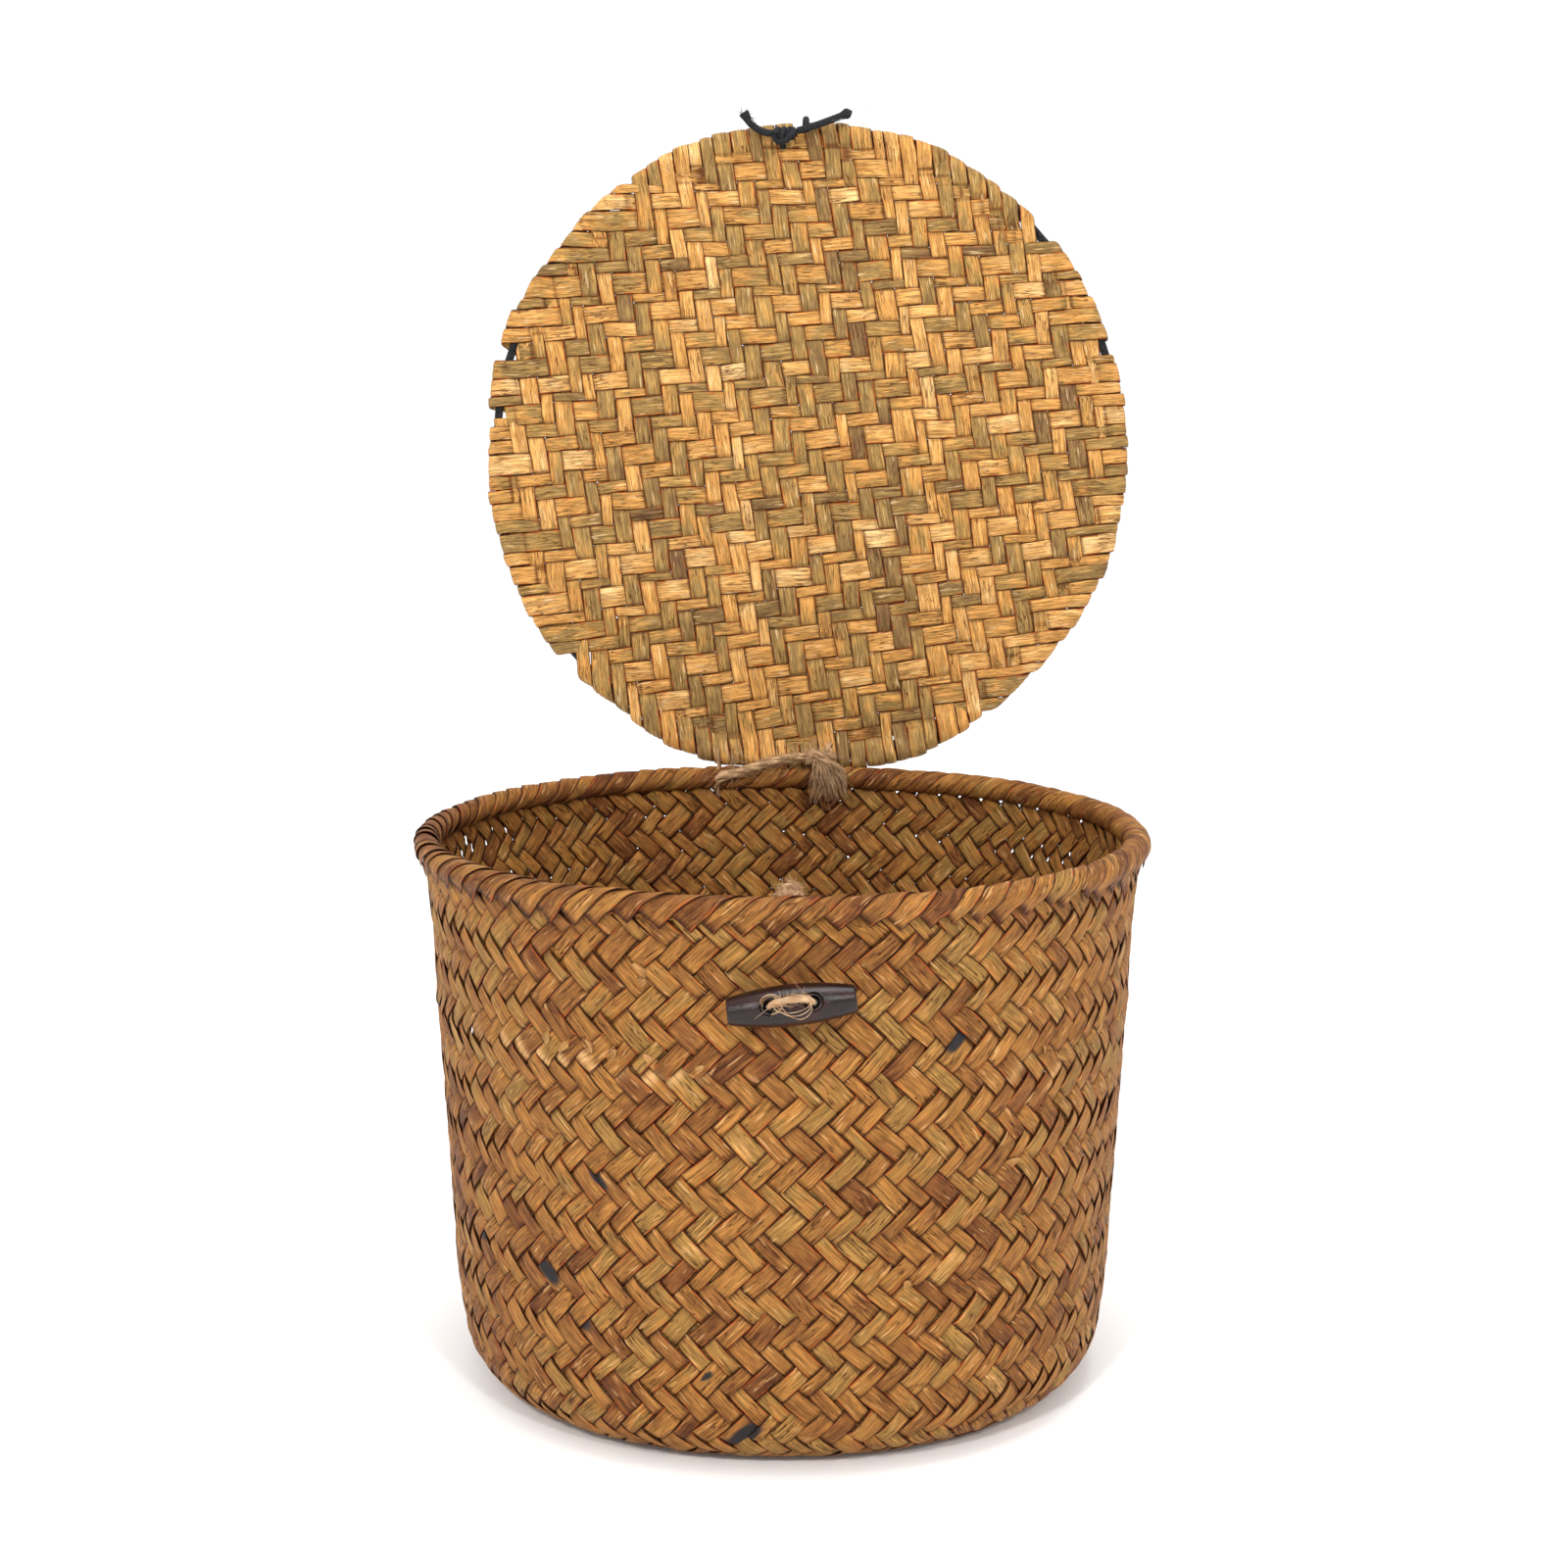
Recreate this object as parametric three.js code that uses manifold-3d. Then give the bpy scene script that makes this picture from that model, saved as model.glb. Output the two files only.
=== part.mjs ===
// Lidded wicker basket: a rounded woven pot with a rolled rim, a woven lid that stands
// open on a twine tie, a wooden toggle on the front and an elastic loop on the lid.
// Millimetres, +Z up. The origin is the middle of the flat base, and the toggle faces -Y.

import * as THREE from 'three';
import { mergeVertices } from 'three/addons/utils/BufferGeometryUtils.js';
import Module from 'manifold-3d';

const wasm = await Module();
wasm.setup();

// ---- Driving dimensions ----
const HEIGHT = 181;
const WEAVE = 2.4;
const GAP = 0.3;
const ROUND = 48;

// Pot wall: outer radius at each height, and how square the plan is there.
const FILLET = 21;
const WALL_FOOT_RADIUS = 107.2;
const WALL = [[27, 108.3], [40, 109.7], [65, 110.8], [91, 111.7], [118, 112.9], [144.8, 113.9], [171, 116.7]];
const WALL_TOP = 173.4;
const SQUARE_AT_BASE = 2.12;
const ROUND_FROM = 160;

// Rolled rim: a tube of folded strips, slit underneath where the wall enters it.
const RIM_RADIUS = 115.5;
const RIM_TUBE = 4.5;
const RIM_SKIN = 1.4;
const RIM_Z = HEIGHT - RIM_TUBE;

// Lid: a woven disc in a folded border that wraps a wire hoop.
const LID_RADIUS = 117.5;
const LID_EDGE = 2.9;
const LID_SKIN = 1.1;
const WIRE = 1.5;
const HOOP_RADIUS = LID_RADIUS - LID_EDGE;
const PANEL_RADIUS = HOOP_RADIUS - LID_EDGE + 1;

// Hinge: the line through the hoop at the back of the rim.
const HINGE_X = 8.4;
const HINGE_Y = 115.2;
const HINGE_Z = HEIGHT + 0.5 + LID_EDGE;
const HINGE_TURN = -2.5;
const LID_LEAN = 5;

// Twine tie that holds the lid on: two loops, a strand between them, a knot and its tassel.
const TWINE = 1.8;
const TIE_LEFT = -32;
const TIE_RIGHT = 9;
const TIE_REACH = 10.4;
const TIE_DROP = 16.4;
const SLOT_WIDTH = 4.4;
const SLOT_FROM = 8.1;
const SLOT_TO = 15.2;

// Toggle: a barrel across the front with two holes, sewn on with thin twine.
const TOGGLE_X = 2.7;
const TOGGLE_Y = -123.5;
const TOGGLE_Z = 150;
const TOGGLE_TILT = 6;
const TOGGLE_LENGTH = 37;
const TOGGLE_MIDDLE = 6;
const TOGGLE_END = 3.9;
const TOGGLE_HOLE = 1.7;
const TOGGLE_HOLE_SPACING = 12.6;
const TOGGLE_RECESS = 2.9;
const THREAD = 1.2;
const WALL_AT_TOGGLE = 114.3;

// Elastic: a round cord, knotted on the lid's inner side, with its loop hanging outside.
const ELASTIC = 1.2;
const ELASTIC_HOLE = [-9, 224.2];

// ---- Materials ----
const COLOURS = {
  wall: 0x8a5f30,
  rim: 0xa27643,
  core: 0x7a5730,
  lid: 0xc39a56,
  border: 0xc9a05c,
  wire: 0x1f2023,
  wood: 0x2b1512,
  twine: 0xa98f68,
  elastic: 0x232428,
};
const ROUGHNESS = { wood: 0.3, wire: 0.5, elastic: 0.85 };

function material(name) {
  const roughness = ROUGHNESS[name] ?? 0.8;
  return new THREE.MeshStandardMaterial({ color: COLOURS[name], roughness, metalness: 0 });
}

function mesh(name, geometry, look) {
  const piece = new THREE.Mesh(geometry, material(look));
  piece.name = name;
  return piece;
}

// ---- Geometry helpers ----
const rad = THREE.MathUtils.degToRad;
const point = (x, y, z) => new THREE.Vector3(x, y, z);

function toSolid(geometry) {
  const bare = geometry.clone();
  bare.deleteAttribute('normal');
  bare.deleteAttribute('uv');
  const merged = mergeVertices(bare, 1e-4);
  const vertProperties = new Float32Array(merged.attributes.position.array);
  const triVerts = new Uint32Array(merged.index.array);
  return new wasm.Manifold(new wasm.Mesh({ numProp: 3, vertProperties, triVerts }));
}

function toGeometry(solid) {
  const { vertProperties, triVerts } = solid.getMesh();
  const geometry = new THREE.BufferGeometry();
  geometry.setAttribute('position', new THREE.BufferAttribute(vertProperties, 3));
  geometry.setIndex(new THREE.BufferAttribute(triVerts, 1));
  geometry.computeVertexNormals();
  return geometry;
}

function cut(geometry, tools) {
  const solid = tools.reduce((left, tool) => left.subtract(toSolid(tool)), toSolid(geometry));
  return toGeometry(solid);
}

// A round cord along a smooth curve through the given points.
function cord(points, radius, steps) {
  const section = new THREE.Shape().absarc(0, 0, radius, 0, 2 * Math.PI);
  const path = new THREE.CatmullRomCurve3(points, false, 'centripetal');
  return new THREE.ExtrudeGeometry(section, { steps, curveSegments: 4, extrudePath: path });
}

// A soft knot: a ball squeezed to three radii.
function knot(centre, radii) {
  const ball = new THREE.SphereGeometry(1, 12, 8);
  ball.scale(...radii);
  return ball.translate(...centre);
}

// Points along an arc in the plane of two coordinates, angles in degrees.
function arc(cx, cy, radius, from, to, count) {
  const points = [];
  for (let i = 0; i <= count; i += 1) {
    const angle = rad(from + ((to - from) * i) / count);
    points.push(new THREE.Vector2(cx + radius * Math.cos(angle), cy + radius * Math.sin(angle)));
  }
  return points;
}

// Profile of a tube wall with a slit that faces the given direction.
function slitTube(cx, cy, radius, skin, slit, facing) {
  const inner = radius - skin;
  const openOut = THREE.MathUtils.radToDeg(Math.asin(slit / radius));
  const openIn = THREE.MathUtils.radToDeg(Math.asin(slit / inner));
  const outside = arc(cx, cy, radius, facing + openOut, facing + 360 - openOut, 9);
  const inside = arc(cx, cy, inner, facing + 360 - openIn, facing + openIn, 7);
  return [...outside, ...inside, outside[0].clone()];
}

// A ring turned from a closed profile of radius and height, with its axis along Z.
function ringAboutZ(profile) {
  return new THREE.LatheGeometry(profile, ROUND).rotateX(Math.PI / 2);
}

// ---- Pot ----
function squareness(z) {
  const share = THREE.MathUtils.clamp(z / ROUND_FROM, 0, 1);
  return SQUARE_AT_BASE + (2 - SQUARE_AT_BASE) * share;
}

// How far the plan stands out at an angle, against a circle of the same mean radius.
function planFactor(angle, z) {
  const power = squareness(z);
  const reach = (a) => (Math.abs(Math.cos(a)) ** power + Math.abs(Math.sin(a)) ** power) ** (-1 / power);
  const mean = (reach(0) + reach(Math.PI / 4)) / 2;
  return reach(angle) / mean;
}

function wallProfile() {
  const foot = WALL_FOOT_RADIUS - FILLET;
  const outside = new THREE.SplineCurve([
    new THREE.Vector2(WALL_FOOT_RADIUS, FILLET),
    ...WALL.map(([z, r]) => new THREE.Vector2(r, z)),
    new THREE.Vector2(WALL[WALL.length - 1][1], WALL_TOP),
  ]).getPoints(9);
  const inside = outside.map((p) => new THREE.Vector2(p.x - WEAVE, p.y)).reverse();
  return [
    new THREE.Vector2(0, 0),
    ...arc(foot, FILLET, FILLET, -90, 0, 6),
    ...outside.slice(1),
    ...inside.slice(0, -1),
    ...arc(foot, FILLET, FILLET - WEAVE, 0, -90, 6),
    new THREE.Vector2(0, WEAVE),
  ];
}

function holeAlongY(x, z, radius, y) {
  return new THREE.CylinderGeometry(radius, radius, 24, 16).translate(x, y, z);
}

function basketBody() {
  const shell = ringAboutZ(wallProfile());
  const at = shell.attributes.position;
  for (let i = 0; i < at.count; i += 1) {
    const factor = planFactor(Math.atan2(at.getY(i), at.getX(i)), at.getZ(i));
    at.setXY(i, at.getX(i) * factor, at.getY(i) * factor);
  }
  const tieHoles = [TIE_LEFT, TIE_RIGHT].map((x) => {
    const hole = holeAlongY(x, -TIE_DROP, TWINE + 0.5, 0);
    return hole.rotateZ(rad(HINGE_TURN)).translate(HINGE_X, HINGE_Y, HINGE_Z);
  });
  const toggleHole = holeAlongY(TOGGLE_X, TOGGLE_Z, 2 * THREAD + 1.1, -WALL_AT_TOGGLE);
  return mesh('basket_body', cut(shell, [...tieHoles, toggleHole]), 'wall');
}

function rimBorder() {
  const profile = slitTube(RIM_RADIUS, RIM_Z, RIM_TUBE, RIM_SKIN, WEAVE / 2 + GAP, -90);
  return mesh('rim_border', ringAboutZ(profile), 'rim');
}

function rimCore() {
  const radius = RIM_TUBE - RIM_SKIN - GAP - 0.1;
  const ring = ringAboutZ(arc(RIM_RADIUS, RIM_Z, radius, 0, 360, 8));
  return mesh('rim_core', ring, 'core');
}

// ---- Lid, in the lid's own frame: X along the hinge, Z up the disc, Y to its outer side ----
function discRing(profile) {
  return new THREE.LatheGeometry(profile, ROUND).translate(0, 0, HOOP_RADIUS);
}

function lidPanel() {
  const disc = new THREE.CylinderGeometry(PANEL_RADIUS, PANEL_RADIUS, WEAVE, ROUND);
  disc.translate(0, 0, HOOP_RADIUS);
  const slots = [TIE_LEFT, TIE_RIGHT].map((x) => {
    const slot = new THREE.BoxGeometry(SLOT_WIDTH, 4 * WEAVE, SLOT_TO - SLOT_FROM);
    return slot.translate(x, 0, (SLOT_FROM + SLOT_TO) / 2);
  });
  const [x, z] = ELASTIC_HOLE;
  const cordHole = new THREE.CylinderGeometry(ELASTIC + 0.5, ELASTIC + 0.5, 4 * WEAVE, 12);
  cordHole.translate(x, 0, z);
  return mesh('lid_panel', cut(disc, [...slots, cordHole]), 'lid');
}

function lidBorder() {
  const profile = slitTube(HOOP_RADIUS, 0, LID_EDGE, LID_SKIN, WEAVE / 2 + GAP, 180);
  return mesh('lid_border', discRing(profile), 'border');
}

function lidHoop() {
  return mesh('lid_hoop', discRing(arc(HOOP_RADIUS, 0, WIRE, 0, 360, 8)), 'wire');
}

// ---- Elastic on the lid's free edge, in the lid's frame ----
function elasticPieces() {
  const loop = [
    point(-0.6, -4.5, 228.6), point(-0.6, -3.6, 231.8), point(-0.6, -0.2, 233.7),
    point(-0.6, 3.6, 231.8), point(-0.6, 4.9, 228.2), point(-0.4, 5.2, 222),
    point(0.4, 5.8, 214), point(0.7, 6.5, 204), point(-0.3, 7.2, 195.5),
    point(-5.2, 7.8, 190), point(-10.1, 7.2, 195.5), point(-11.1, 6.5, 204),
    point(-10.9, 5.8, 214), point(-10, 4.4, 220.5), point(-9.2, 2.4, 223.8),
    point(-9, 0, 224.2), point(-9, -2.6, 223.9),
  ];
  const left = [
    point(-11.1, -6, 227.9), point(-14, -6.1, 227.8), point(-17.5, -6.2, 229),
    point(-20.8, -6.3, 231.5), point(-23, -6.3, 235),
  ];
  const right = [
    point(-1.2, -7.4, 229), point(3.6, -7.6, 230.4), point(8.4, -7.5, 232.1),
    point(12.8, -7.3, 233.8), point(16.4, -7.1, 235.3),
  ];
  return [
    mesh('elastic_loop', cord(loop, ELASTIC, 50), 'elastic'),
    mesh('elastic_knot', knot([-6.2, -6.4, 228.2], [4.3, 2.7, 2.7]), 'elastic'),
    mesh('elastic_tail_left', cord(left, ELASTIC, 10), 'elastic'),
    mesh('elastic_tail_right', cord(right, ELASTIC, 10), 'elastic'),
  ];
}

// ---- Twine tie, in the hinge frame: X along the hinge line, which is the origin ----
// Each loop runs over the hoop about the hinge line and under the rim through the wall.
function tieLoop(name, x) {
  const corner = 3;
  const bottom = -TIE_DROP;
  const over = arc(0, 0, TIE_REACH, 0, 180, 8).map((p) => point(x, p.x, p.y));
  const loop = [
    point(x, -TIE_REACH, -4), point(x, -TIE_REACH, -9), point(x, -TIE_REACH, bottom + corner),
    point(x, -TIE_REACH + 0.9, bottom + 0.9), point(x, -TIE_REACH + corner, bottom),
    point(x, TIE_REACH - corner, bottom), point(x, TIE_REACH - 0.9, bottom + 0.9),
    point(x, TIE_REACH, bottom + corner), point(x, TIE_REACH, -6), ...over,
    point(x, -TIE_REACH, -2),
  ];
  return mesh(name, cord(loop, TWINE, 40), 'twine');
}

function tieFront() {
  const strand = [
    point(TIE_LEFT + 4, -9.6, -8.6), point(-22, -9.3, -8.2), point(-14, -9.2, -7),
    point(-8, -9.3, -6.2), point(-3.2, -9.5, -5.8),
  ];
  const tassel = [
    point(3.4, -14.8, -7.4), point(6.5, -14.8, -10), point(9.6, -14.4, -13),
    point(12, -14, -16),
  ];
  return [
    mesh('hinge_strand', cord(strand, TWINE, 10), 'twine'),
    mesh('hinge_knot', knot([1.9, -9.7, -5.8], [3.1, 2.9, 2.7]), 'twine'),
    mesh('hinge_tassel', cord(tassel, TWINE, 8), 'twine'),
  ];
}

// ---- Toggle, in its own frame: X along the barrel, -Y away from the wall ----
function toggleBarrel() {
  const half = TOGGLE_LENGTH / 2;
  const swell = TOGGLE_MIDDLE - TOGGLE_END;
  const profile = [new THREE.Vector2(0, -half)];
  for (let i = 0; i <= 12; i += 1) {
    const along = (2 * i) / 12 - 1;
    profile.push(new THREE.Vector2(TOGGLE_END + swell * (1 - along ** 2), half * along));
  }
  profile.push(new THREE.Vector2(0, half));
  const barrel = new THREE.LatheGeometry(profile, 20).rotateZ(Math.PI / 2);
  const depth = 2.4;
  const tools = [];
  for (const side of [-1, 1]) {
    const x = (side * TOGGLE_HOLE_SPACING) / 2;
    tools.push(holeAlongY(x, 0, TOGGLE_HOLE, 0));
    for (const face of [-1, 1]) {
      const recess = new THREE.CylinderGeometry(TOGGLE_RECESS, TOGGLE_RECESS, depth, 14);
      tools.push(recess.translate(x, face * TOGGLE_MIDDLE, 0));
    }
  }
  return mesh('toggle', cut(barrel, tools), 'wood');
}

function toggleStitch() {
  const hole = TOGGLE_HOLE_SPACING / 2;
  const front = -TOGGLE_MIDDLE - THREAD - GAP;
  const half = [
    point(0, front, 0), point(3, front, 0), point(hole - 1.2, front + 0.3, 0),
    point(hole - 0.2, front + 1.8, 0), point(hole, -3, 0), point(hole, 3, 0),
    point(hole - 0.4, 5.6, 0), point(3.8, 7.6, 0), point(1.8, 8.8, 0), point(1.7, 12.4, 0),
  ];
  const other = half.slice(1).map((p) => point(-p.x, p.y, p.z)).reverse();
  return mesh('toggle_stitch', cord([...other, ...half], THREAD, 44), 'twine');
}

// The same twine runs up inside the wall to a knot under the rim.
function toggleAnchor() {
  const riser = [
    point(TOGGLE_X, -108.9, TOGGLE_Z - 3), point(TOGGLE_X, -108.7, 155), point(2.8, -108.9, 163),
    point(2.6, -108.6, 170), point(2.5, -107.6, 176.2),
  ];
  return [
    mesh('toggle_riser', cord(riser, THREAD, 12), 'twine'),
    mesh('toggle_knot', knot([2.5, -107, 180.1], [3.4, 2.4, 2.6]), 'twine'),
  ];
}

// ---- Assembly ----
const basket = new THREE.Group();
basket.add(basketBody(), rimBorder(), rimCore(), ...toggleAnchor());

const hinge = new THREE.Group();
hinge.position.set(HINGE_X, HINGE_Y, HINGE_Z);
hinge.rotation.z = rad(HINGE_TURN);
hinge.add(tieLoop('hinge_tie_left', TIE_LEFT), tieLoop('hinge_tie_right', TIE_RIGHT));
hinge.add(...tieFront());
basket.add(hinge);

const lid = new THREE.Group();
lid.rotation.x = rad(-LID_LEAN);
lid.add(lidPanel(), lidBorder(), lidHoop(), ...elasticPieces());
hinge.add(lid);

const toggle = new THREE.Group();
toggle.position.set(TOGGLE_X, TOGGLE_Y, TOGGLE_Z);
toggle.rotation.y = rad(-TOGGLE_TILT);
toggle.add(toggleBarrel(), toggleStitch());
basket.add(toggle);

export default basket;
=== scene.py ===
import math

import bpy
import numpy as np
from mathutils import Matrix, Vector


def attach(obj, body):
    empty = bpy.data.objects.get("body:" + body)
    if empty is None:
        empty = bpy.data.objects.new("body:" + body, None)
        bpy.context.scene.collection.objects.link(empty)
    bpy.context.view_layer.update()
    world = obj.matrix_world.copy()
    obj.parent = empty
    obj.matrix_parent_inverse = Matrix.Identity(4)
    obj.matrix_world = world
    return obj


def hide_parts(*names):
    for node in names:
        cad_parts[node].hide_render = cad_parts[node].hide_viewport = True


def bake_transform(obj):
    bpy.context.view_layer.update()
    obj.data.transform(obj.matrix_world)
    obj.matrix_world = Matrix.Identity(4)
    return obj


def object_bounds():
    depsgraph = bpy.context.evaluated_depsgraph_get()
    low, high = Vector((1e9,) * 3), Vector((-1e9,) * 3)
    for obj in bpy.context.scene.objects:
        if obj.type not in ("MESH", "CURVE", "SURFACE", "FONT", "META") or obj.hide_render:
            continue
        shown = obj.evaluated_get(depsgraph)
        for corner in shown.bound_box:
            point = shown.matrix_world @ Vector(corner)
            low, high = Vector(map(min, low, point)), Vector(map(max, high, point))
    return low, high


# Looks of the lidded wicker basket. Metres, +Z up, the toggle faces -Y.
# Every leaf strip of the weave is a ribbon of its own, laid over and under in a 2/2 twill.
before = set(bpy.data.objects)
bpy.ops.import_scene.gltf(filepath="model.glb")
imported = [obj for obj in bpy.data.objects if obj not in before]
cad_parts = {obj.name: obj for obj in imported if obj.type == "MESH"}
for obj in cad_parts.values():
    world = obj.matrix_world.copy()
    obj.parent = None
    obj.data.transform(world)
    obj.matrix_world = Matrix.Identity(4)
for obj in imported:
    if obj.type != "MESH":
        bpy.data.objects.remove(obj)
cad_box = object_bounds()
scene = bpy.context.scene
MM = 0.001

# ---- Driving dimensions, in millimetres ----
WEAVE = 2.4
FILLET = 21
FOOT_RADIUS = 107.2
WALL = [(27, 108.3), (40, 109.7), (65, 110.8), (91, 111.7), (118, 112.9), (144.8, 113.9),
        (171, 116.7)]
WALL_TOP = 173.4
SQUARE_AT_BASE = 2.12
ROUND_FROM = 160
RIM_RADIUS = 115.5
RIM_TUBE = 4.5
RIM_Z = 176.5
HINGE = (8.4, 115.2, 184.4)
HINGE_TURN = -2.5
LID_LEAN = 5
HOOP_RADIUS = 114.6
LID_EDGE = 2.9

# Weave of the pot: strips of each family round the pot, and the height of one row of floats.
STRIPS = 84
ROW = 8.22
ROW_AT = 162.3
# Weave of the lid: pitch of the upright and the level strips, and how far the weave is turned.
UPRIGHT_PITCH = 5.6
LEVEL_PITCH = 5.45
UPRIGHT_LEAN = 0.15
LEVEL_CLIMB = 0.085
LEVEL_FAN = 0.0006

# Toggle and the twine and elastic that the CAD model has as plain cords.
TOGGLE = (2.7, -123.5, 150)
TOGGLE_TILT = 6
TOGGLE_ROLL = 17
TOGGLE_LENGTH = 37
TOGGLE_MIDDLE = 6
TOGGLE_END = 3.9
TOGGLE_HOLE_SPACING = 12.6
ELASTIC = 1.2
TIE_LEFT = -32
TIE_RIGHT = 9


def hinge_matrix():
    place = Matrix.Translation(Vector(HINGE) * MM)
    return place @ Matrix.Rotation(math.radians(HINGE_TURN), 4, "Z")


def lid_matrix():
    """Places the lid's own frame: X along the hinge, Z up the disc, Y to its outer side."""
    return hinge_matrix() @ Matrix.Rotation(math.radians(-LID_LEAN), 4, "X")


def toggle_matrix():
    place = Matrix.Translation(Vector(TOGGLE) * MM)
    turn = Matrix.Rotation(math.radians(-TOGGLE_TILT), 4, "Y")
    return place @ turn @ Matrix.Rotation(math.radians(-TOGGLE_ROLL), 4, "X")


def placed(points, matrix=None):
    """Points in millimetres as an array of metres in the shared frame."""
    points = np.asarray(points, float).reshape(-1, 3) * MM
    if matrix is None:
        return points
    turn = np.array(matrix)[:3, :3]
    return points @ turn.T + np.array(matrix)[:3, 3]


# ---- Camera, floor and light ----
CAMERA_PLACE = (0, -0.840, 0.329)
CAMERA_DOWN = 0.160


def make_camera():
    camera = bpy.data.cameras.new("camera")
    camera.lens = 59.7
    camera.sensor_width = 36
    camera.shift_x = 0.0011
    camera.clip_start = 0.05
    camera.clip_end = 50
    holder = bpy.data.objects.new("camera", camera)
    scene.collection.objects.link(holder)
    holder.location = CAMERA_PLACE
    holder.rotation_euler = (math.pi / 2 - CAMERA_DOWN, 0, 0)
    scene.camera = holder


# Lights: the name, the place, the size across and the power.
LIGHTS = [("key", (-0.48, -1.5, 1.15), 0.16, 13), ("fill", (0.5, -1.5, 1.1), 0.16, 8),
          ("top", (0.1, -0.1, 1.9), 0.9, 14)]
LIT = Vector((0, 0, 0.2))


def make_light(name, place, size, power):
    light = bpy.data.lights.new(name, "AREA")
    light.shape = "DISK"
    light.size = size
    light.energy = power
    holder = bpy.data.objects.new(name, light)
    scene.collection.objects.link(holder)
    holder.location = place
    holder.rotation_euler = (LIT - Vector(place)).to_track_quat("-Z", "Y").to_euler()


def make_stage():
    scene.view_settings.view_transform = "Standard"
    world = bpy.data.worlds.new("studio")
    world.use_nodes = True
    scene.world = world
    background = world.node_tree.nodes["Background"]
    background.inputs["Color"].default_value = (1, 1, 1, 1)
    background.inputs["Strength"].default_value = 1.04
    bpy.ops.mesh.primitive_plane_add(size=12, location=(0, 3, cad_box[0].z - 0.0002))
    floor = bpy.context.object
    floor.name = "floor"
    pale = bpy.data.materials.new("pale_floor")
    pale.use_nodes = True
    shader = pale.node_tree.nodes["Principled BSDF"]
    shader.inputs["Base Color"].default_value = (0.98, 0.98, 0.98, 1)
    shader.inputs["Roughness"].default_value = 0.9
    floor.data.materials.append(pale)
    for light in LIGHTS:
        make_light(*light)


# ---- Repeatable chance ----
def chance(*keys):
    """A repeatable value from 0 to 1 for each set of whole-number keys."""
    mixed = sum(np.asarray(k, float) * f for k, f in zip(keys, (12.9898, 78.233, 37.719, 9.177)))
    return np.modf(np.abs(np.sin(mixed) * 43758.5453))[0]


def signed(*keys):
    return 2 * chance(*keys) - 1


def drift(at, *keys):
    """A smooth wander from -1 to 1 along at, different for each set of keys."""
    low = np.floor(at)
    share = at - low
    share = share * share * (3 - 2 * share)
    return signed(low, *keys) * (1 - share) + signed(low + 1, *keys) * share


def smooth(low, high, value):
    share = np.clip((value - low) / (high - low), 0, 1)
    return share * share * (3 - 2 * share)


# ---- Meshes ----
def build(name, points, quads, caps, matrix=None, **values):
    """A smooth mesh object from an array of points in millimetres, with point attributes."""
    points = placed(points, matrix)
    mesh = bpy.data.meshes.new(name)
    mesh.vertices.add(len(points))
    mesh.vertices.foreach_set("co", points.ravel())
    loops = np.concatenate([quads.ravel(), caps.ravel()])
    sizes = np.concatenate([np.full(len(f), f.shape[1]) for f in (quads, caps)])
    mesh.loops.add(len(loops))
    mesh.loops.foreach_set("vertex_index", loops.astype(np.int32))
    mesh.polygons.add(len(sizes))
    starts = np.concatenate([[0], np.cumsum(sizes)[:-1]])
    mesh.polygons.foreach_set("loop_start", starts.astype(np.int32))
    mesh.update(calc_edges=True)
    mesh.shade_smooth()
    for key, value in values.items():
        value = np.asarray(value, np.float32)
        kind, field = ("FLOAT_VECTOR", "vector") if value.ndim == 2 else ("FLOAT", "value")
        mesh.attributes.new(key, kind, "POINT").data.foreach_set(field, value.ravel())
    made = bpy.data.objects.new(name, mesh)
    scene.collection.objects.link(made)
    return made


def tube_faces(stations, ring, offset, flip):
    """Quads and end caps of a closed tube, a grid of stations by ring points."""
    along = np.arange(stations - 1)[:, None] * ring + offset
    here = np.arange(ring)[None, :]
    after = (here + 1) % ring
    corners = [along + here, along + after, along + ring + after, along + ring + here]
    quads = np.stack(corners, -1).reshape(-1, 4)
    caps = np.stack([offset + np.arange(ring)[::-1], offset + (stations - 1) * ring + np.arange(ring)])
    return (quads[:, ::-1], caps[:, ::-1]) if flip else (quads, caps)


def joined(grids, flip=False):
    """The points, quads and caps of several closed tubes of any length, as one mesh."""
    offsets = np.cumsum([0] + [len(g) * g.shape[1] for g in grids])
    faces = [tube_faces(*g.shape[:2], offset, flip) for g, offset in zip(grids, offsets)]
    quads, caps = [np.concatenate(f) for f in zip(*faces)]
    return np.concatenate([g.reshape(-1, 3) for g in grids]), quads, caps


def finish_piece(piece, material, slot, body, *nodes):
    """Gives a piece its material, and the body and CAD nodes it stands for. slot is not used."""
    piece.data.materials.append(material)
    if nodes:
        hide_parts(*nodes)
    if body:
        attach(piece, body)
    return piece


# ---- Cords: smooth paths, tubes along them, twisted plies and loose fibres ----
def curve_through(points, count):
    """Evenly spaced points on a smooth curve through the given ones."""
    points = np.asarray(points, float)
    ends = np.vstack([2 * points[0] - points[1], points, 2 * points[-1] - points[-2]])
    t = np.linspace(0, 1, 12, endpoint=False)[:, None]
    fine = [0.5 * (2 * b + (c - a) * t + (2 * a - 5 * b + 4 * c - d) * t ** 2
                   + (3 * b - a - 3 * c + d) * t ** 3)
            for a, b, c, d in zip(ends, ends[1:], ends[2:], ends[3:])]
    fine = np.vstack(fine + [points[-1:]])
    length = run_along(fine)
    at = np.linspace(0, length[-1], count)
    return np.stack([np.interp(at, length, fine[:, k]) for k in range(3)], 1)


def run_along(path):
    steps = np.linalg.norm(np.diff(path, axis=0), axis=1)
    return np.concatenate([[0], np.cumsum(steps)])


def unit(vector):
    return vector / np.linalg.norm(vector)


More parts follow.
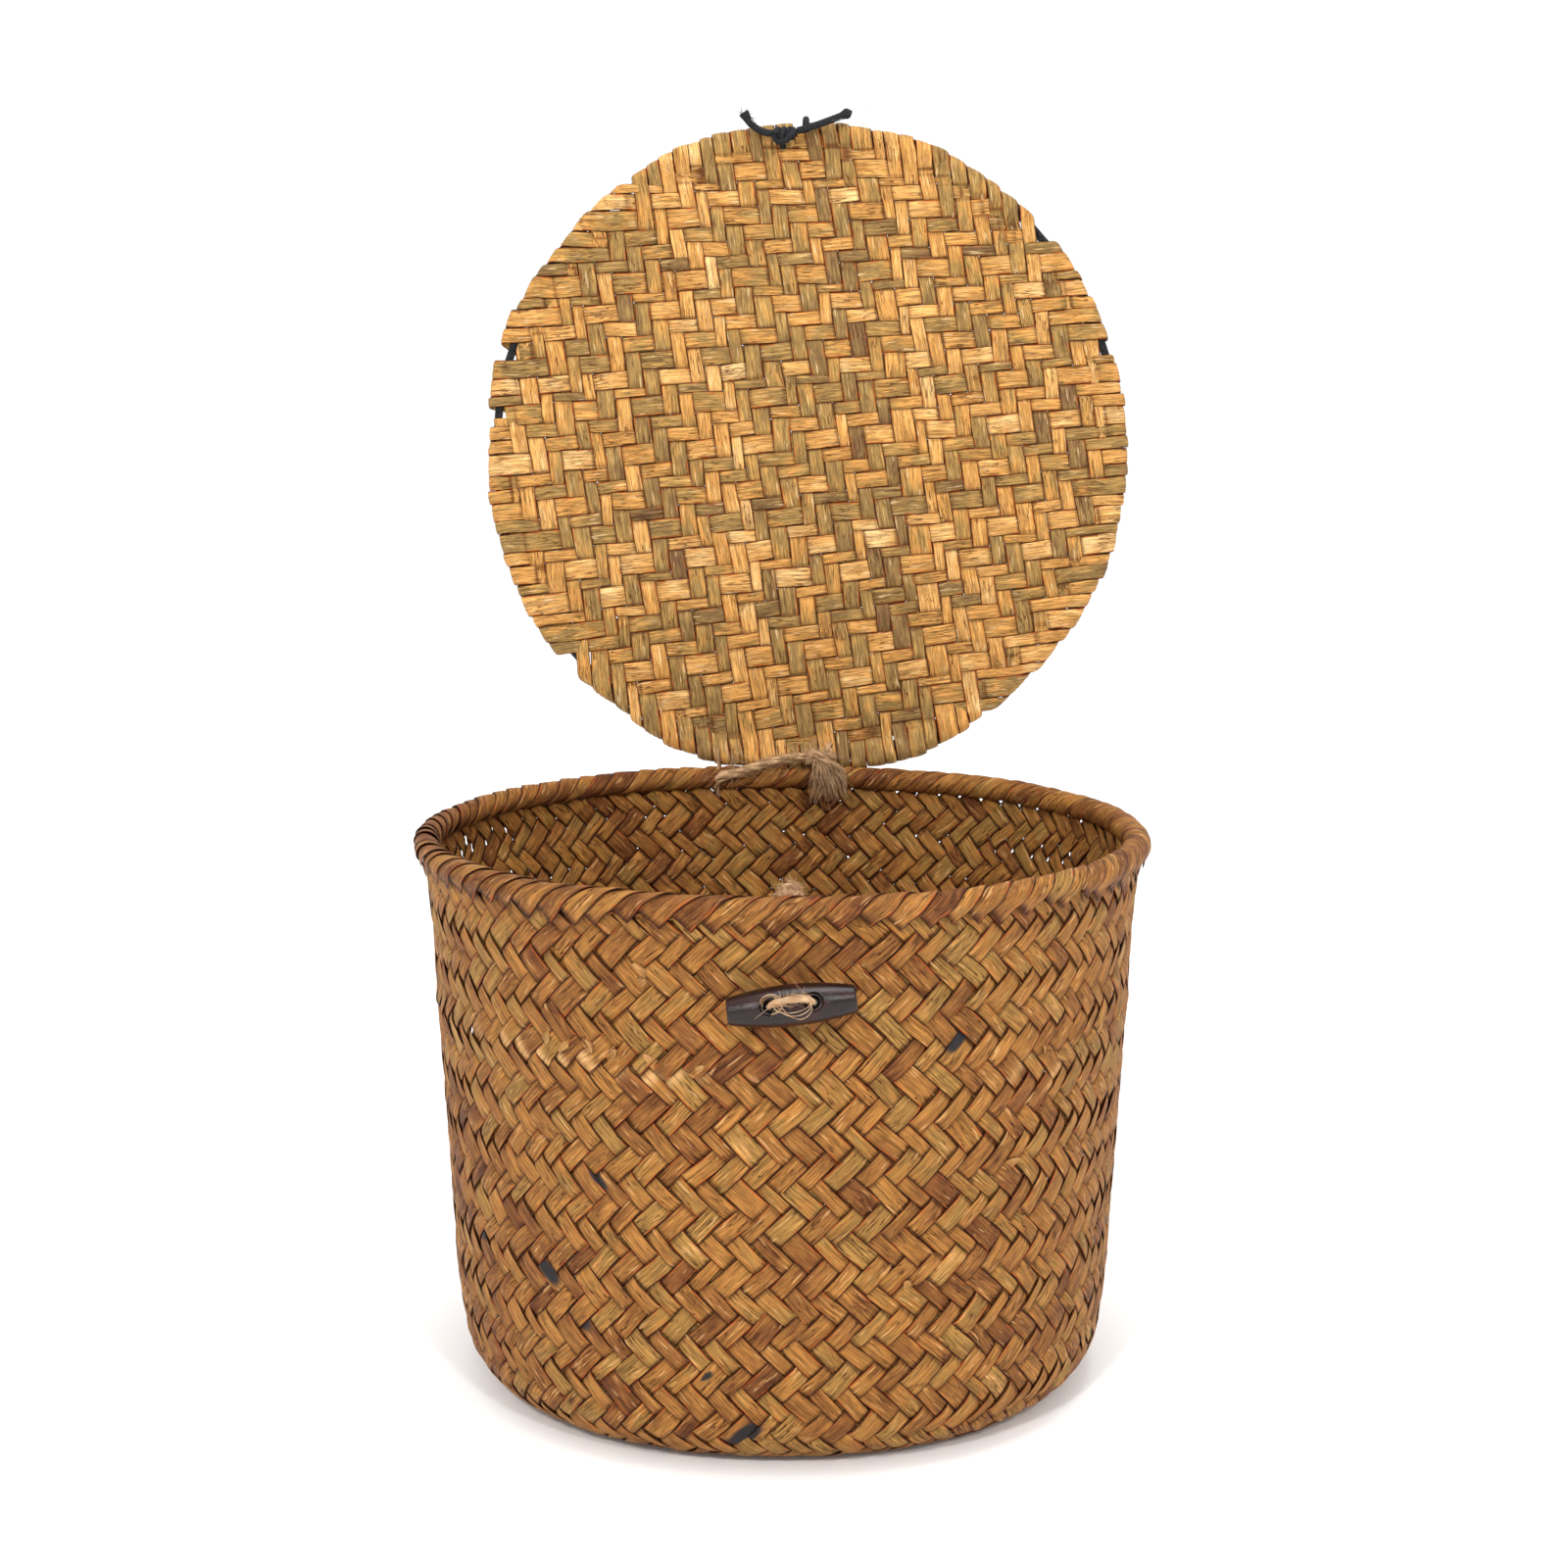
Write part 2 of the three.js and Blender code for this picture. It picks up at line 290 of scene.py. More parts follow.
def frames(path):
    """Two directions square to a path at each of its points, which don't twist along it."""
    ahead = np.gradient(path, axis=0)
    ahead /= np.linalg.norm(ahead, axis=1)[:, None]
    sides = [unit(np.cross(ahead[0], (0.31, 0.52, 0.8)))]
    for step in ahead[1:]:
        sides.append(unit(sides[-1] - step * np.dot(step, sides[-1])))
    sides = np.array(sides)
    return sides, np.cross(ahead, sides)


def tubes(name, parts, ring, matrix=None):
    """One mesh of round tubes. Each part is a path and its radius, all along or at each point."""
    turn = np.linspace(0, 2 * math.pi, ring, endpoint=False)
    grids, grain = [], []
    for number, (path, radius) in enumerate(parts):
        side, other = frames(path)
        radius = np.broadcast_to(radius, len(path)).astype(float)[:, None]
        out = np.cos(turn)[None, :, None] * side[:, None] + np.sin(turn)[None, :, None] * other[:, None]
        grids.append(path[:, None] + radius[..., None] * out)
        run = run_along(path)[:, None] + 0 * turn[None, :]
        around = turn[None, :] * radius.max() + 0 * run
        grain.append(np.stack([around, run, 0 * run + number], -1).reshape(-1, 3))
    return build(name, *joined(grids), matrix, grain=np.concatenate(grain))


def cord_piece(name, parts, ring, looks, body, *nodes, matrix=None):
    """A piece of round tubes. looks is its material with the record's slot for it."""
    return finish_piece(tubes(name, parts, ring, matrix), *looks, body, *nodes)


def plies(path, radius, count, pitch, thick=0.56):
    """The plies of a twisted twine, as parts for tubes."""
    side, other = frames(path)
    run = run_along(path)
    radius = np.broadcast_to(radius, len(path)).astype(float)
    made = []
    for ply in range(count):
        turn = 2 * math.pi * (run / pitch + ply / count)
        away = np.cos(turn)[:, None] * side + np.sin(turn)[:, None] * other
        made.append((path + away * (radius * (1 - thick))[:, None], radius * thick))
    return made


def fibres(path, count, size, seed, thick=0.05, lift=0.9, start=0.0):
    """Loose fibres that leave a cord and curl, as parts for tubes."""
    made = []
    steps = np.linspace(0, 1, 7)[:, None]
    for n in range(count):
        spot = int((start + (1 - start) * chance(seed, n, 1)) * (len(path) - 2))
        ahead = unit(path[spot + 1] - path[spot]) * np.sign(signed(seed, n, 2))
        side = np.array([signed(seed, n, k) for k in (3, 4, 5)])
        side = unit(side - ahead * np.dot(side, ahead))
        curl = np.array([signed(seed, n, k) for k in (6, 7, 8)])
        long = size * (0.4 + 0.9 * chance(seed, n, 9))
        line = path[spot] + side * lift + long * (
            steps * (ahead * 0.75 + side * 0.35) + steps ** 2 * (curl * 0.7))
        made.append((line, np.linspace(thick, thick * 0.4, 7)))
    return made


# ---- Materials ----
class Looks:
    """Builds one node material in the order in which its values are worked out."""

    def __init__(self, name, roughness=0.6, specular=0.35):
        self.material = bpy.data.materials.new(name)
        self.material.use_nodes = True
        self.tree = self.material.node_tree
        self.shader = self.tree.nodes["Principled BSDF"]
        self.shader.inputs["Roughness"].default_value = roughness
        self.shader.inputs["Specular IOR Level"].default_value = specular

    def put(self, socket, value):
        if isinstance(value, bpy.types.NodeSocket):
            self.tree.links.new(value, socket)
        else:
            socket.default_value = value

    def node(self, kind, inputs=None, **settings):
        made = self.tree.nodes.new(kind)
        for key, value in settings.items():
            setattr(made, key, value)
        for key, value in (inputs or {}).items():
            self.put(made.inputs[key], value)
        return made

    def attribute(self, name, vector=False):
        made = self.node("ShaderNodeAttribute", attribute_name=name)
        return made.outputs["Vector" if vector else "Fac"]

    def places(self):
        return self.node("ShaderNodeTexCoord").outputs["Object"]

    def times(self, a, b):
        return self.maths("MULTIPLY", a, b)

    def maths(self, operation, a, b=0.0, c=0.0):
        made = self.node("ShaderNodeMath", {0: a, 1: b, 2: c}, operation=operation)
        return made.outputs[0]

    def dimmed(self, colour_in, share):
        inputs = {0: colour_in, 3: share}
        return self.node("ShaderNodeVectorMath", inputs, operation="SCALE").outputs[0]

    def noise(self, vector, scale, detail=2.0, rough=0.5):
        """Noise with its own number of features to a unit of length along each axis."""
        spread = self.node("ShaderNodeVectorMath", {0: vector, 1: scale}, operation="MULTIPLY")
        inputs = {"Vector": spread.outputs[0], "Scale": 1.0, "Detail": detail, "Roughness": rough}
        return self.node("ShaderNodeTexNoise", inputs).outputs["Fac"]

    def cracks(self, grain, scale, narrow, wide):
        """Thin long lines along the grain, where a stretched noise passes its middle value."""
        level = self.noise(grain, scale, rough=0.6)
        away = self.maths("ABSOLUTE", self.maths("SUBTRACT", level, 0.5))
        return self.step(away, narrow, wide, 1.0, 0.0)

    def step(self, value, low, high, to_low=0.0, to_high=1.0):
        inputs = {"Value": value, "From Min": low, "From Max": high,
                  "To Min": to_low, "To Max": to_high}
        made = self.node("ShaderNodeMapRange", inputs, interpolation_type="SMOOTHSTEP")
        return made.outputs["Result"]

    def mix(self, share, a, b):
        made = self.node("ShaderNodeMix", data_type="RGBA")
        for socket, value in ((made.inputs[0], share), (made.inputs[6], a), (made.inputs[7], b)):
            self.put(socket, value)
        return made.outputs[2]

    def ramp(self, value, stops):
        made = self.node("ShaderNodeValToRGB", {"Fac": value})
        spots = made.color_ramp.elements
        while len(spots) < len(stops):
            spots.new(0.5)
        for spot, (place, shade) in zip(spots, stops):
            spot.position = place
            spot.color = shade
        return made.outputs["Color"]

    def finish(self, shade, roughness=None, height=None, depth=0.0002, strength=1.0):
        self.put(self.shader.inputs["Base Color"], shade)
        if roughness is not None:
            self.put(self.shader.inputs["Roughness"], roughness)
        if height is not None:
            inputs = {"Height": height, "Distance": depth, "Strength": strength}
            bump = self.node("ShaderNodeBump", inputs)
            self.put(self.shader.inputs["Normal"], bump.outputs["Normal"])
        return self.material


def colour(red, green, blue):
    """A colour given as it looks on a screen, from 0 to 255, as linear light."""
    def linear(c):
        c = c / 255
        return c / 12.92 if c <= 0.04045 else ((c + 0.055) / 1.055) ** 2.4
    return (linear(red), linear(green), linear(blue), 1)


def leaf_looks(name, tones, crack_and_shade, glow, pale, roughness, cracked):
    """Dried leaf: fibres and cracks along the strip, tones that change along it, painted shade where a
    strip dives under its neighbour and along its edges, and painted sheen streaks.

    glow is the stain along its edges, pale the colour of the painted sheen streaks and of
    creased leaf, and cracked how much of a strip is cracked.
    """
    looks = Looks(name, specular=0.16)
    grain = looks.attribute("grain", vector=True)
    fibre = looks.noise(grain, (1.7, 0.07, 1), detail=5, rough=0.75)
    base = leaf_tone(looks, grain, fibre, tones)
    # Painted shade: the leaf turns to the crack colour where it dives under a crossing strip.
    base = looks.mix(looks.step(looks.attribute("tuck_shade"), 0.0, 1.0, 0.92, 0.0), base, crack_and_shade)
    cracks = leaf_cracks(looks, grain, cracked)
    base = looks.mix(looks.times(cracks, 0.85), base, crack_and_shade)
    speck = looks.noise(grain, (1.5, 1.0, 5.9))
    base = looks.mix(looks.step(speck, 0.7, 0.75, 0, 0.6), base, crack_and_shade)
    # Painted sheen: pale streaks along the strip in the pale colour.
    painted_sheen = looks.noise(grain, (1.1, 0.13, 9.7))
    base = looks.mix(looks.step(painted_sheen, 0.62, 0.72, 0, 0.5), base, pale)
    base = leaf_edges(looks, grain, base, glow, crack_and_shade)
    fold = looks.times(looks.attribute("fold"), looks.step(fibre, 0.3, 0.6, 0.2, 1.0))
    base = looks.mix(fold, base, pale)
    char = looks.maths("MULTIPLY_ADD", looks.maths("SUBTRACT", fibre, 0.5), 0.7, looks.attribute("char"))
    base = looks.mix(looks.step(char, 0.3, 0.75), base, CHARRED)
    rough = looks.step(fibre, 0.2, 0.8, roughness + 0.14, roughness - 0.08)
    height = looks.maths("MULTIPLY_ADD", cracks, -0.9, looks.times(fibre, 1.1))
    return looks.finish(base, rough, height, 0.0004)


def leaf_tone(looks, grain, fibre, tones):
    """The strip's own tone, in blotches, with light and dark fibres."""
    blotch = looks.maths("SUBTRACT", looks.noise(grain, (0.25, 0.12, 2.3), detail=3), 0.5)
    base = looks.ramp(looks.maths("MULTIPLY_ADD", blotch, 0.8, looks.attribute("tone")), tones)
    streak = looks.noise(grain, (0.9, 0.05, 1.7))
    light = looks.times(looks.step(fibre, 0.32, 0.68, 0.6, 1.34), looks.step(streak, 0.3, 0.7, 0.84, 1.14))
    return looks.dimmed(base, light)


def leaf_cracks(looks, grain, cracked):
    """Wide cracks where the leaf is driest, and fine ones everywhere."""
    dry = looks.step(looks.noise(grain, (0.08, 0.08, 3.1)), 0.6 - cracked, 0.66 - cracked, 0.1, 1.0)
    wide = looks.times(looks.cracks(grain, (0.8, 0.05, 4.3), 0.008, 0.02), dry)
    fine = looks.times(looks.cracks(grain, (1.7, 0.08, 8.9), 0.01, 0.028), 0.42)
    return looks.maths("MAXIMUM", wide, fine)


def leaf_edges(looks, grain, base, glow, crack_and_shade):
    """A dark line of painted crevice shade, partly stain, along each edge of the strip; stained beside it
    in places.
    """
    edge = looks.attribute("edge")
    worn = looks.step(looks.noise(grain, (0.1, 0.2, 6.7)), 0.5, 0.62, 0, 0.85)
    stain = looks.times(looks.step(edge, 0.72, 0.87), worn)
    base = looks.mix(stain, base, glow)
    # Painted shade of the crevice between strips, partly stain: a dark line at each edge.
    return looks.mix(looks.step(edge, 0.84, 0.955, 0, 0.96), base, crack_and_shade)


def twine_looks(name, low, high):
    """Jute: pale fibres wound along each ply."""
    looks = Looks(name, roughness=0.85, specular=0.2)
    grain = looks.attribute("grain", vector=True)
    fibre = looks.noise(grain, (5.0, 0.5, 1), detail=3, rough=0.7)
    patch = looks.noise(grain, (0.5, 0.25, 1.3))
    shade = looks.maths("MULTIPLY_ADD", patch, 0.5, looks.times(fibre, 0.5))
    base = looks.ramp(looks.step(shade, 0.36, 0.64), [(0.0, low), (1.0, high)])
    return looks.finish(base, looks.step(fibre, 0.3, 0.7, 0.95, 0.75), fibre, 0.0003)


def elastic_looks():
    """Braided elastic: two families of fine threads crossing round the cord."""
    looks = Looks("elastic_braid", roughness=0.75, specular=0.25)
    grain = looks.attribute("grain", vector=True)
    parts = looks.node("ShaderNodeSeparateXYZ", {"Vector": grain}).outputs
    along = looks.times(parts[1], 6.0)
    back = looks.times(parts[1], -6.0)
    one = looks.maths("SINE", looks.maths("MULTIPLY_ADD", parts[0], 5.0, along))
    two = looks.maths("SINE", looks.maths("MULTIPLY_ADD", parts[0], 5.0, back))
    braid = looks.maths("MAXIMUM", one, two)
    lint = looks.noise(grain, (3.0, 1.5, 1), detail=3)
    base = looks.ramp(looks.step(lint, 0.3, 0.75), [(0.0, colour(18, 18, 20)), (1.0, colour(42, 42, 46))])
    base = looks.dimmed(base, looks.step(braid, -0.4, 1.0, 0.7, 1.2))
    return looks.finish(base, looks.step(lint, 0.3, 0.7, 0.65, 0.85), braid, 0.00012)


def wood_looks():
    """Dark stained wood under a thin glossy lacquer, redder towards one end."""
    looks = Looks("toggle_wood", roughness=0.2, specular=0.32)
    grain = looks.attribute("grain", vector=True)
    streak = looks.noise(grain, (0.12, 1.6, 1), detail=4, rough=0.6)
    pore = looks.noise(grain, (0.7, 5.0, 2))
    dent = looks.noise(grain, (3, 3, 3), detail=3, rough=0.6)
    red = looks.step(looks.noise(grain, (0.09, 0.25, 4)), 0.42, 0.62)
    base = looks.ramp(looks.step(streak, 0.3, 0.7), [(0.0, colour(12, 7, 6)), (1.0, colour(34, 21, 20))])
    base = looks.mix(looks.times(red, 0.5), base, colour(52, 16, 11))
    base = looks.mix(looks.step(pore, 0.62, 0.7, 0, 0.7), base, colour(10, 5, 4))
    rough = looks.step(dent, 0.3, 0.7, 0.08, 0.24)
    height = looks.maths("MULTIPLY_ADD", dent, 0.7, looks.times(streak, 0.5))
    return looks.finish(base, rough, height, 0.0001)


def wire_looks():
    """The hoop: dark wire wound with ribbed tape."""
    looks = Looks("hoop_tape", roughness=0.6, specular=0.15)
    rib = looks.noise(looks.places(), (900, 900, 900))
    base = looks.ramp(looks.step(rib, 0.35, 0.65), [(0.0, colour(10, 10, 11)), (1.0, colour(38, 37, 38))])
    return looks.finish(base, looks.step(rib, 0.3, 0.7, 0.4, 0.7), rib, 0.0003)


def core_looks():
    """The rim's core: the ends of the strips, bundled round the rim."""
    looks = Looks("rim_core_leaf", roughness=0.75)
    fibre = looks.noise(looks.places(), (260, 260, 1500), detail=3)
    base = looks.ramp(looks.step(fibre, 0.3, 0.7), [(0.0, colour(70, 38, 16)), (1.0, colour(150, 104, 56))])
    return looks.finish(base, looks.step(fibre, 0.3, 0.7, 0.85, 0.65), fibre, 0.0004)


WALL_TONES = [(0.0, colour(98, 54, 26)), (0.16, colour(126, 77, 36)), (0.34, colour(149, 98, 46)),
              (0.52, colour(168, 114, 54)), (0.68, colour(152, 112, 56)), (0.84, colour(166, 123, 62)),
              (1.0, colour(202, 147, 86))]
LID_TONES = [(0.0, colour(124, 90, 56)), (0.2, colour(148, 117, 68)), (0.38, colour(172, 134, 74)),
             (0.56, colour(208, 148, 76)), (0.8, colour(222, 167, 97)), (1.0, colour(238, 194, 130))]
CHARRED = colour(44, 40, 41)
# The tones, the colour of the cracks and of the painted shade in crevices, the stain along the edges, and
# the pale of the painted sheen and of creases.
WALL_COLOURS = (WALL_TONES, colour(56, 15, 2), colour(176, 84, 30), colour(226, 176, 116))
LID_COLOURS = (LID_TONES, colour(92, 44, 12), colour(190, 96, 32), colour(244, 208, 156))


# ---- Strips ----
# Section of a leaf strip: a thin lens, as shares of its half width and of its thickness.
SECTION = np.array([(-1, 0), (-0.88, 0.5), (-0.45, 0.9), (0, 1), (0.45, 0.9), (0.88, 0.5),
                    (1, 0), (0.6, -0.5), (0, -0.6), (-0.6, -0.5)])
LEAF = 0.34
SLACK = -0.008


def border(number, spread, *keys):
    """Where two neighbouring strips meet: whole numbers, moved because widths differ."""
    return number + spread * signed(np.mod(number, STRIPS), *keys)


def evened(run, spread, *keys):
    """A place among strips of different widths, as if they were all one wide."""
    near = np.round(run)
    here = border(near, spread, *keys)
    other = np.where(run >= here, near + 1, near - 1)
    gap = border(other, spread, *keys) - here
    return near + (other - near) * (run - here) / gap


def wave(phase, sharp):
    """Over and under: +1 over two strips and -1 under two, with quick turns between."""
    return np.tanh(sharp * np.cos(math.pi / 2 * phase)) / math.tanh(sharp)


def floats(phase, number, way, swing):
    """Which float of a strip each station is on, how it leans there and how far it is pinched."""
    visit = np.floor((phase + 2) / 4)
    local = phase - 4 * visit
    skew = swing * signed(number, visit, way + 4) * local * (1 - (local / 2) ** 2)
    return visit, skew, SLACK + 0.05 * chance(number, visit, way + 10) ** 3


def ribbons(run, middle, half, height, tilt, place):
    """Grids of closed ribbons, one row of stations for each strip.

    run is how far along each station is, middle and half the strip's centre line and half
    width, height and tilt its rise off the cloth, and place turns them into points.
    """
    across = middle[..., None] + half[..., None] * SECTION[:, 0]
    rise = height[..., None] + tilt[..., None] * SECTION[:, 0] + LEAF * SECTION[:, 1]
    along = np.broadcast_to(run[..., None], across.shape)
    return place(across, along, rise)


def strip_values(tone, length, width, seed, tuck_shade, char=0.0, fold=0.0, under=1.0):
    """Attributes that the leaf material reads, for every point of the ribbons.

    under widens the painted shade line on the side of a strip that lies under its neighbour.
    """
    shape = tone.shape + (len(SECTION),)

    def spread(value):
        value = np.asarray(value, float)
        value = value[..., None] if value.ndim == tone.ndim else value
        return np.broadcast_to(value, shape)
    across = np.broadcast_to(SECTION[:, 0], shape)
    grain = np.stack([across * spread(width), spread(length), spread(seed)], -1)
    return {"grain": grain.reshape(-1, 3), "tone": spread(tone).ravel(),
            "edge": np.where(across < 0, -under * across, across).ravel(), "tuck_shade": spread(tuck_shade).ravel(),
            "char": spread(char).ravel(), "fold": spread(fold).ravel()}


def weave_piece(name, strips, leaf, slot, body, *nodes, matrix=None, flip=False, under=1.0):
    """One piece of leaf strips, each given as its ribbon and then its values for strip_values."""
    values = [strip_values(*looks, under=under) for grid, *looks in strips]
    merged = {key: np.concatenate([v[key] for v in values]) for key in values[0]}
    piece = build(name, *joined([grid for grid, *looks in strips], flip), matrix, **merged)
    return finish_piece(piece, leaf, slot, body, *nodes)


# ---- Pot: the cloth's middle surface ----
FLAT_RADIUS = FOOT_RADIUS - FILLET
FILLET_MIDDLE = FILLET - WEAVE / 2
FILLET_RUN = FILLET_MIDDLE * math.pi / 2
WALL_Z = np.array([FILLET] + [z for z, r in WALL] + [WALL_TOP])
WALL_R = np.array([FOOT_RADIUS] + [r for z, r in WALL] + [WALL[-1][1]])
SIDE = STRIPS / 4
CREASE_Z = 126
FLOAT_MIDDLE = -0.25
EDGE_V = FLOAT_MIDDLE - (FILLET_RUN + ROW_AT - FILLET) / ROW


def plan_factor(angle, z):
    """How far the plan stands out at an angle, against a circle of the same mean radius."""
    share = np.clip(z / ROUND_FROM, 0, 1)
    power = SQUARE_AT_BASE + (2 - SQUARE_AT_BASE) * share

    def reach(a):
        return (np.abs(np.cos(a)) ** power + np.abs(np.sin(a)) ** power) ** (-1 / power)
    return reach(angle) / ((1 + reach(math.pi / 4)) / 2)


def pot_place(u, v, rise, side):
    """Points of the pot: u strips round it, v rows up it, rise off the cloth's middle.

    side is the u in the middle of the side of the square base that a strip starts from.
    """
    run = (v - EDGE_V) * ROW
    angle = 2 * math.pi * u / STRIPS
    turn = np.clip(run / FILLET_MIDDLE, 0, math.pi / 2)
    on_wall = run > FILLET_RUN
    z = np.where(on_wall, FILLET + run - FILLET_RUN, FILLET - FILLET_MIDDLE * np.cos(turn))
    out = np.where(on_wall, np.interp(z, WALL_Z, WALL_R) - WEAVE / 2,
                   FLAT_RADIUS + FILLET_MIDDLE * np.sin(turn))
    crease = 0.4 * np.exp(-((z - CREASE_Z) / 2.2) ** 2) + 0.3 * smooth(118, 128, z)
    wobble = 0.35 * np.sin(3 * angle + 1) * np.sin(z / 31) + 0.3 * np.sin(7 * angle + z / 23)
    out = out + crease * (1 - smooth(140, 160, z)) + wobble * smooth(20, 60, z) * (1 - smooth(150, 170, z))
    radius = (out + rise * np.sin(turn)) * plan_factor(angle, z)
    wall = np.stack([radius * np.sin(angle), -radius * np.cos(angle),
                     z - rise * np.cos(turn)], -1)
    deep = np.clip(EDGE_V - v, 0, SIDE / 2)
    flat = base_place(u - side, deep, rise, side)
    return np.where((run >= 0)[..., None], wall, flat)


def base_place(x, deep, rise, side):
    """Points of the base: x along its side, deep in from the side, on a rounded square."""
    half = SIDE / 2
    y = -(half - deep)
    turn = 2 * math.pi * side / STRIPS
    plane_x = x * np.cos(turn) - y * np.sin(turn)
    plane_y = x * np.sin(turn) + y * np.cos(turn)
    ring = np.maximum(np.abs(plane_x), np.abs(plane_y))
    safe = np.maximum(ring, 1e-6)
    corner = np.minimum(np.abs(plane_x), np.abs(plane_y)) / safe * math.pi / 4
    angle = np.where(np.abs(plane_x) > np.abs(plane_y), math.pi / 2 - corner, corner)
    radius = ring / half * FLAT_RADIUS * plan_factor(angle, 0.0)
    share = smooth(0, half, ring)
    scale = FLAT_RADIUS / half * 0.93 * (1 - share)
    flat_x = plane_x * scale + np.sign(plane_x) * radius * np.sin(angle) * share
    flat_y = plane_y * scale + np.sign(plane_y) * radius * np.cos(angle) * share
    return np.stack([flat_x, flat_y, WEAVE / 2 - rise], -1)


# ---- Pot: strips ----
RISE = 0.7
STEPS = 5
TOP_Z = 174.6
SPREAD = 0.2
RISING, FALLING = 1, 2
LEAF_WIDTH = ROW / math.sqrt(2)

# Scorch marks: x and z on the front of the wall, reach along and across the strip, in
# millimetres, and which way the strip leans.
SCORCHES = [(50.7, 133.7, 4.5, 2.6, 1), (-62, 45.9, 6.5, 2.6, -1), (-71, 57.4, 5.0, 2.2, -1),
            (-94, 61, 3.0, 1.6, -1), (-54.5, 90.5, 4.5, 1.2, -1), (-11.2, 12.8, 7.5, 3.0, 1),
            (-22.2, 32.2, 3.0, 1.0, 1), (6.3, 28, 2.6, 1.0, -1)]


def scorch(points, lean):
    """How charred each point is: spots on the front of the wall, drawn out along the strips."""
    amount = np.zeros(points.shape[:-1])
    for x, z, long, wide, way in SCORCHES:
        if way != lean:
            continue
        dx, dz = points[..., 0] - x, points[..., 2] - z
        along = (dx + lean * dz) / math.sqrt(2)
        across = (dz - lean * dx) / math.sqrt(2)
        amount += 1.1 * np.exp(-(along / long) ** 2 - (across / wide) ** 4)
    return np.where(points[..., 1] < 0, np.minimum(amount, 1), 0)


def crease_marks(points):
    """Where the wall was creased: pale wrinkles at one height, on the front's two sides."""
    x, y, z = points[..., 0], points[..., 1], points[..., 2]
    where = np.exp(-((x + 58) / 34) ** 4) + 0.8 * np.exp(-((x - 78) / 12) ** 2)
    level = CREASE_Z - 0.05 * (x + 60) + 1.2 * np.sin(x / 5)
    return np.where(y < 0, where, 0.25) * np.exp(-((z - level) / 1.1) ** 2)


def pot_run(which, rising):
    """The places along the pot's strips, from the fold of the base up, and each one's side."""
    start_u = which + 0.5 + (EDGE_V if rising else -EDGE_V)
    side = np.round(start_u / SIDE) * SIDE
    x = start_u - side
    low_v = EDGE_V - (SIDE / 2 + x if rising else SIDE / 2 - x) / 2 - 0.15
    top_v = EDGE_V + (FILLET_RUN + TOP_Z - FILLET) / ROW
    count = int(2 * (top_v - EDGE_V + SIDE / 2) * STEPS)
    v_mid = low_v + (top_v - low_v) * np.linspace(0, 1, count)[None, :]
    return which + 0.5 + (2 * v_mid if rising else -2 * v_mid), side


def on_pot(rising, side):
    """Turns across and along a leaning strip into points of the pot."""
    def place(across, along, rise):
        v = (along - across) / 2 if rising else (across - along) / 2
        return pot_place((across + along) / 2, v, rise, side)
    return place


def pot_family(way):
    """The strips that lean right, or left, as they rise."""
    rising = way == RISING
    which = np.arange(STRIPS, dtype=float)[:, None]
    run, side = pot_run(which, rising)
    phase = evened(run, SPREAD, FALLING if rising else RISING) - which - (0 if rising else 3)
    visit, skew, pinch = floats(phase, which, way, 0.09)
    low = border(which, SPREAD, way) + 0.05 * drift(run / 2.6, which, way)
    high = border(which + 1, SPREAD, way) + 0.05 * drift(run / 2.6, np.mod(which + 1, STRIPS), way)
    middle = (low + high) / 2 + skew + 0.03 * signed(which, visit, way + 8)
    half = (high - low) / 2 - pinch
    height = RISE * wave(phase, 2.6)
    tilt = 0.38 * signed(which, visit, way + 12)
    points = ribbons(run, middle, half, height, tilt, on_pot(rising, side[..., None]))
    tone = (0.12 + 0.36 * chance(which, way + 16) + 0.34 * chance(which, visit, way + 20)
            + 0.12 * drift(run / 5, which, way + 22))
    # Painted shade: low where the strip dives under a crossing strip, high on top of its float.
    tuck_shade = smooth(-0.2, 0.8, np.abs(height) / RISE)
    fold = smooth(0.3, 0.45, chance(which, visit, way + 24)) * crease_marks(points[:, :, 3])
    char = scorch(points, 1 if rising else -1)
    seed = which + 100 * way + 0 * run
    return list(zip(points, tone, LEAF_WIDTH * run, LEAF_WIDTH * half, seed, tuck_shade, char, fold))


def make_pot(leaf):
    quarter = STRIPS // 4
    for way, name in ((RISING, "pot_strips_right"), (FALLING, "pot_strips_left")):
        strips = pot_family(way)
        for part in range(4):
            some = strips[part * quarter:(part + 1) * quarter]
            weave_piece(f"{name}_{part + 1}", some, leaf, "weave", "basket", "basket_body",
                        flip=way == FALLING)


# Torn ends of leaf that curl off the wall: x and z on its front, which way the strip leans,
# and how long the end is in strip widths. Most of them lie along the crease.
TEARS = [(-39.5, 155, FALLING, 1.5), (-41, 152.6, RISING, 0.9), (-70, 132, FALLING, 0.8),
         (-64, 131, RISING, 0.7), (-57, 131.5, FALLING, 0.9), (-50, 130.4, RISING, 0.9),
         (-38.5, 129, FALLING, 0.9), (-25, 127.5, RISING, 1.0), (-9, 126, FALLING, 0.8),
         (79, 127, RISING, 0.9), (84, 122, FALLING, 0.7), (70, 93, RISING, 0.7), (38, 60, FALLING, 0.7)]


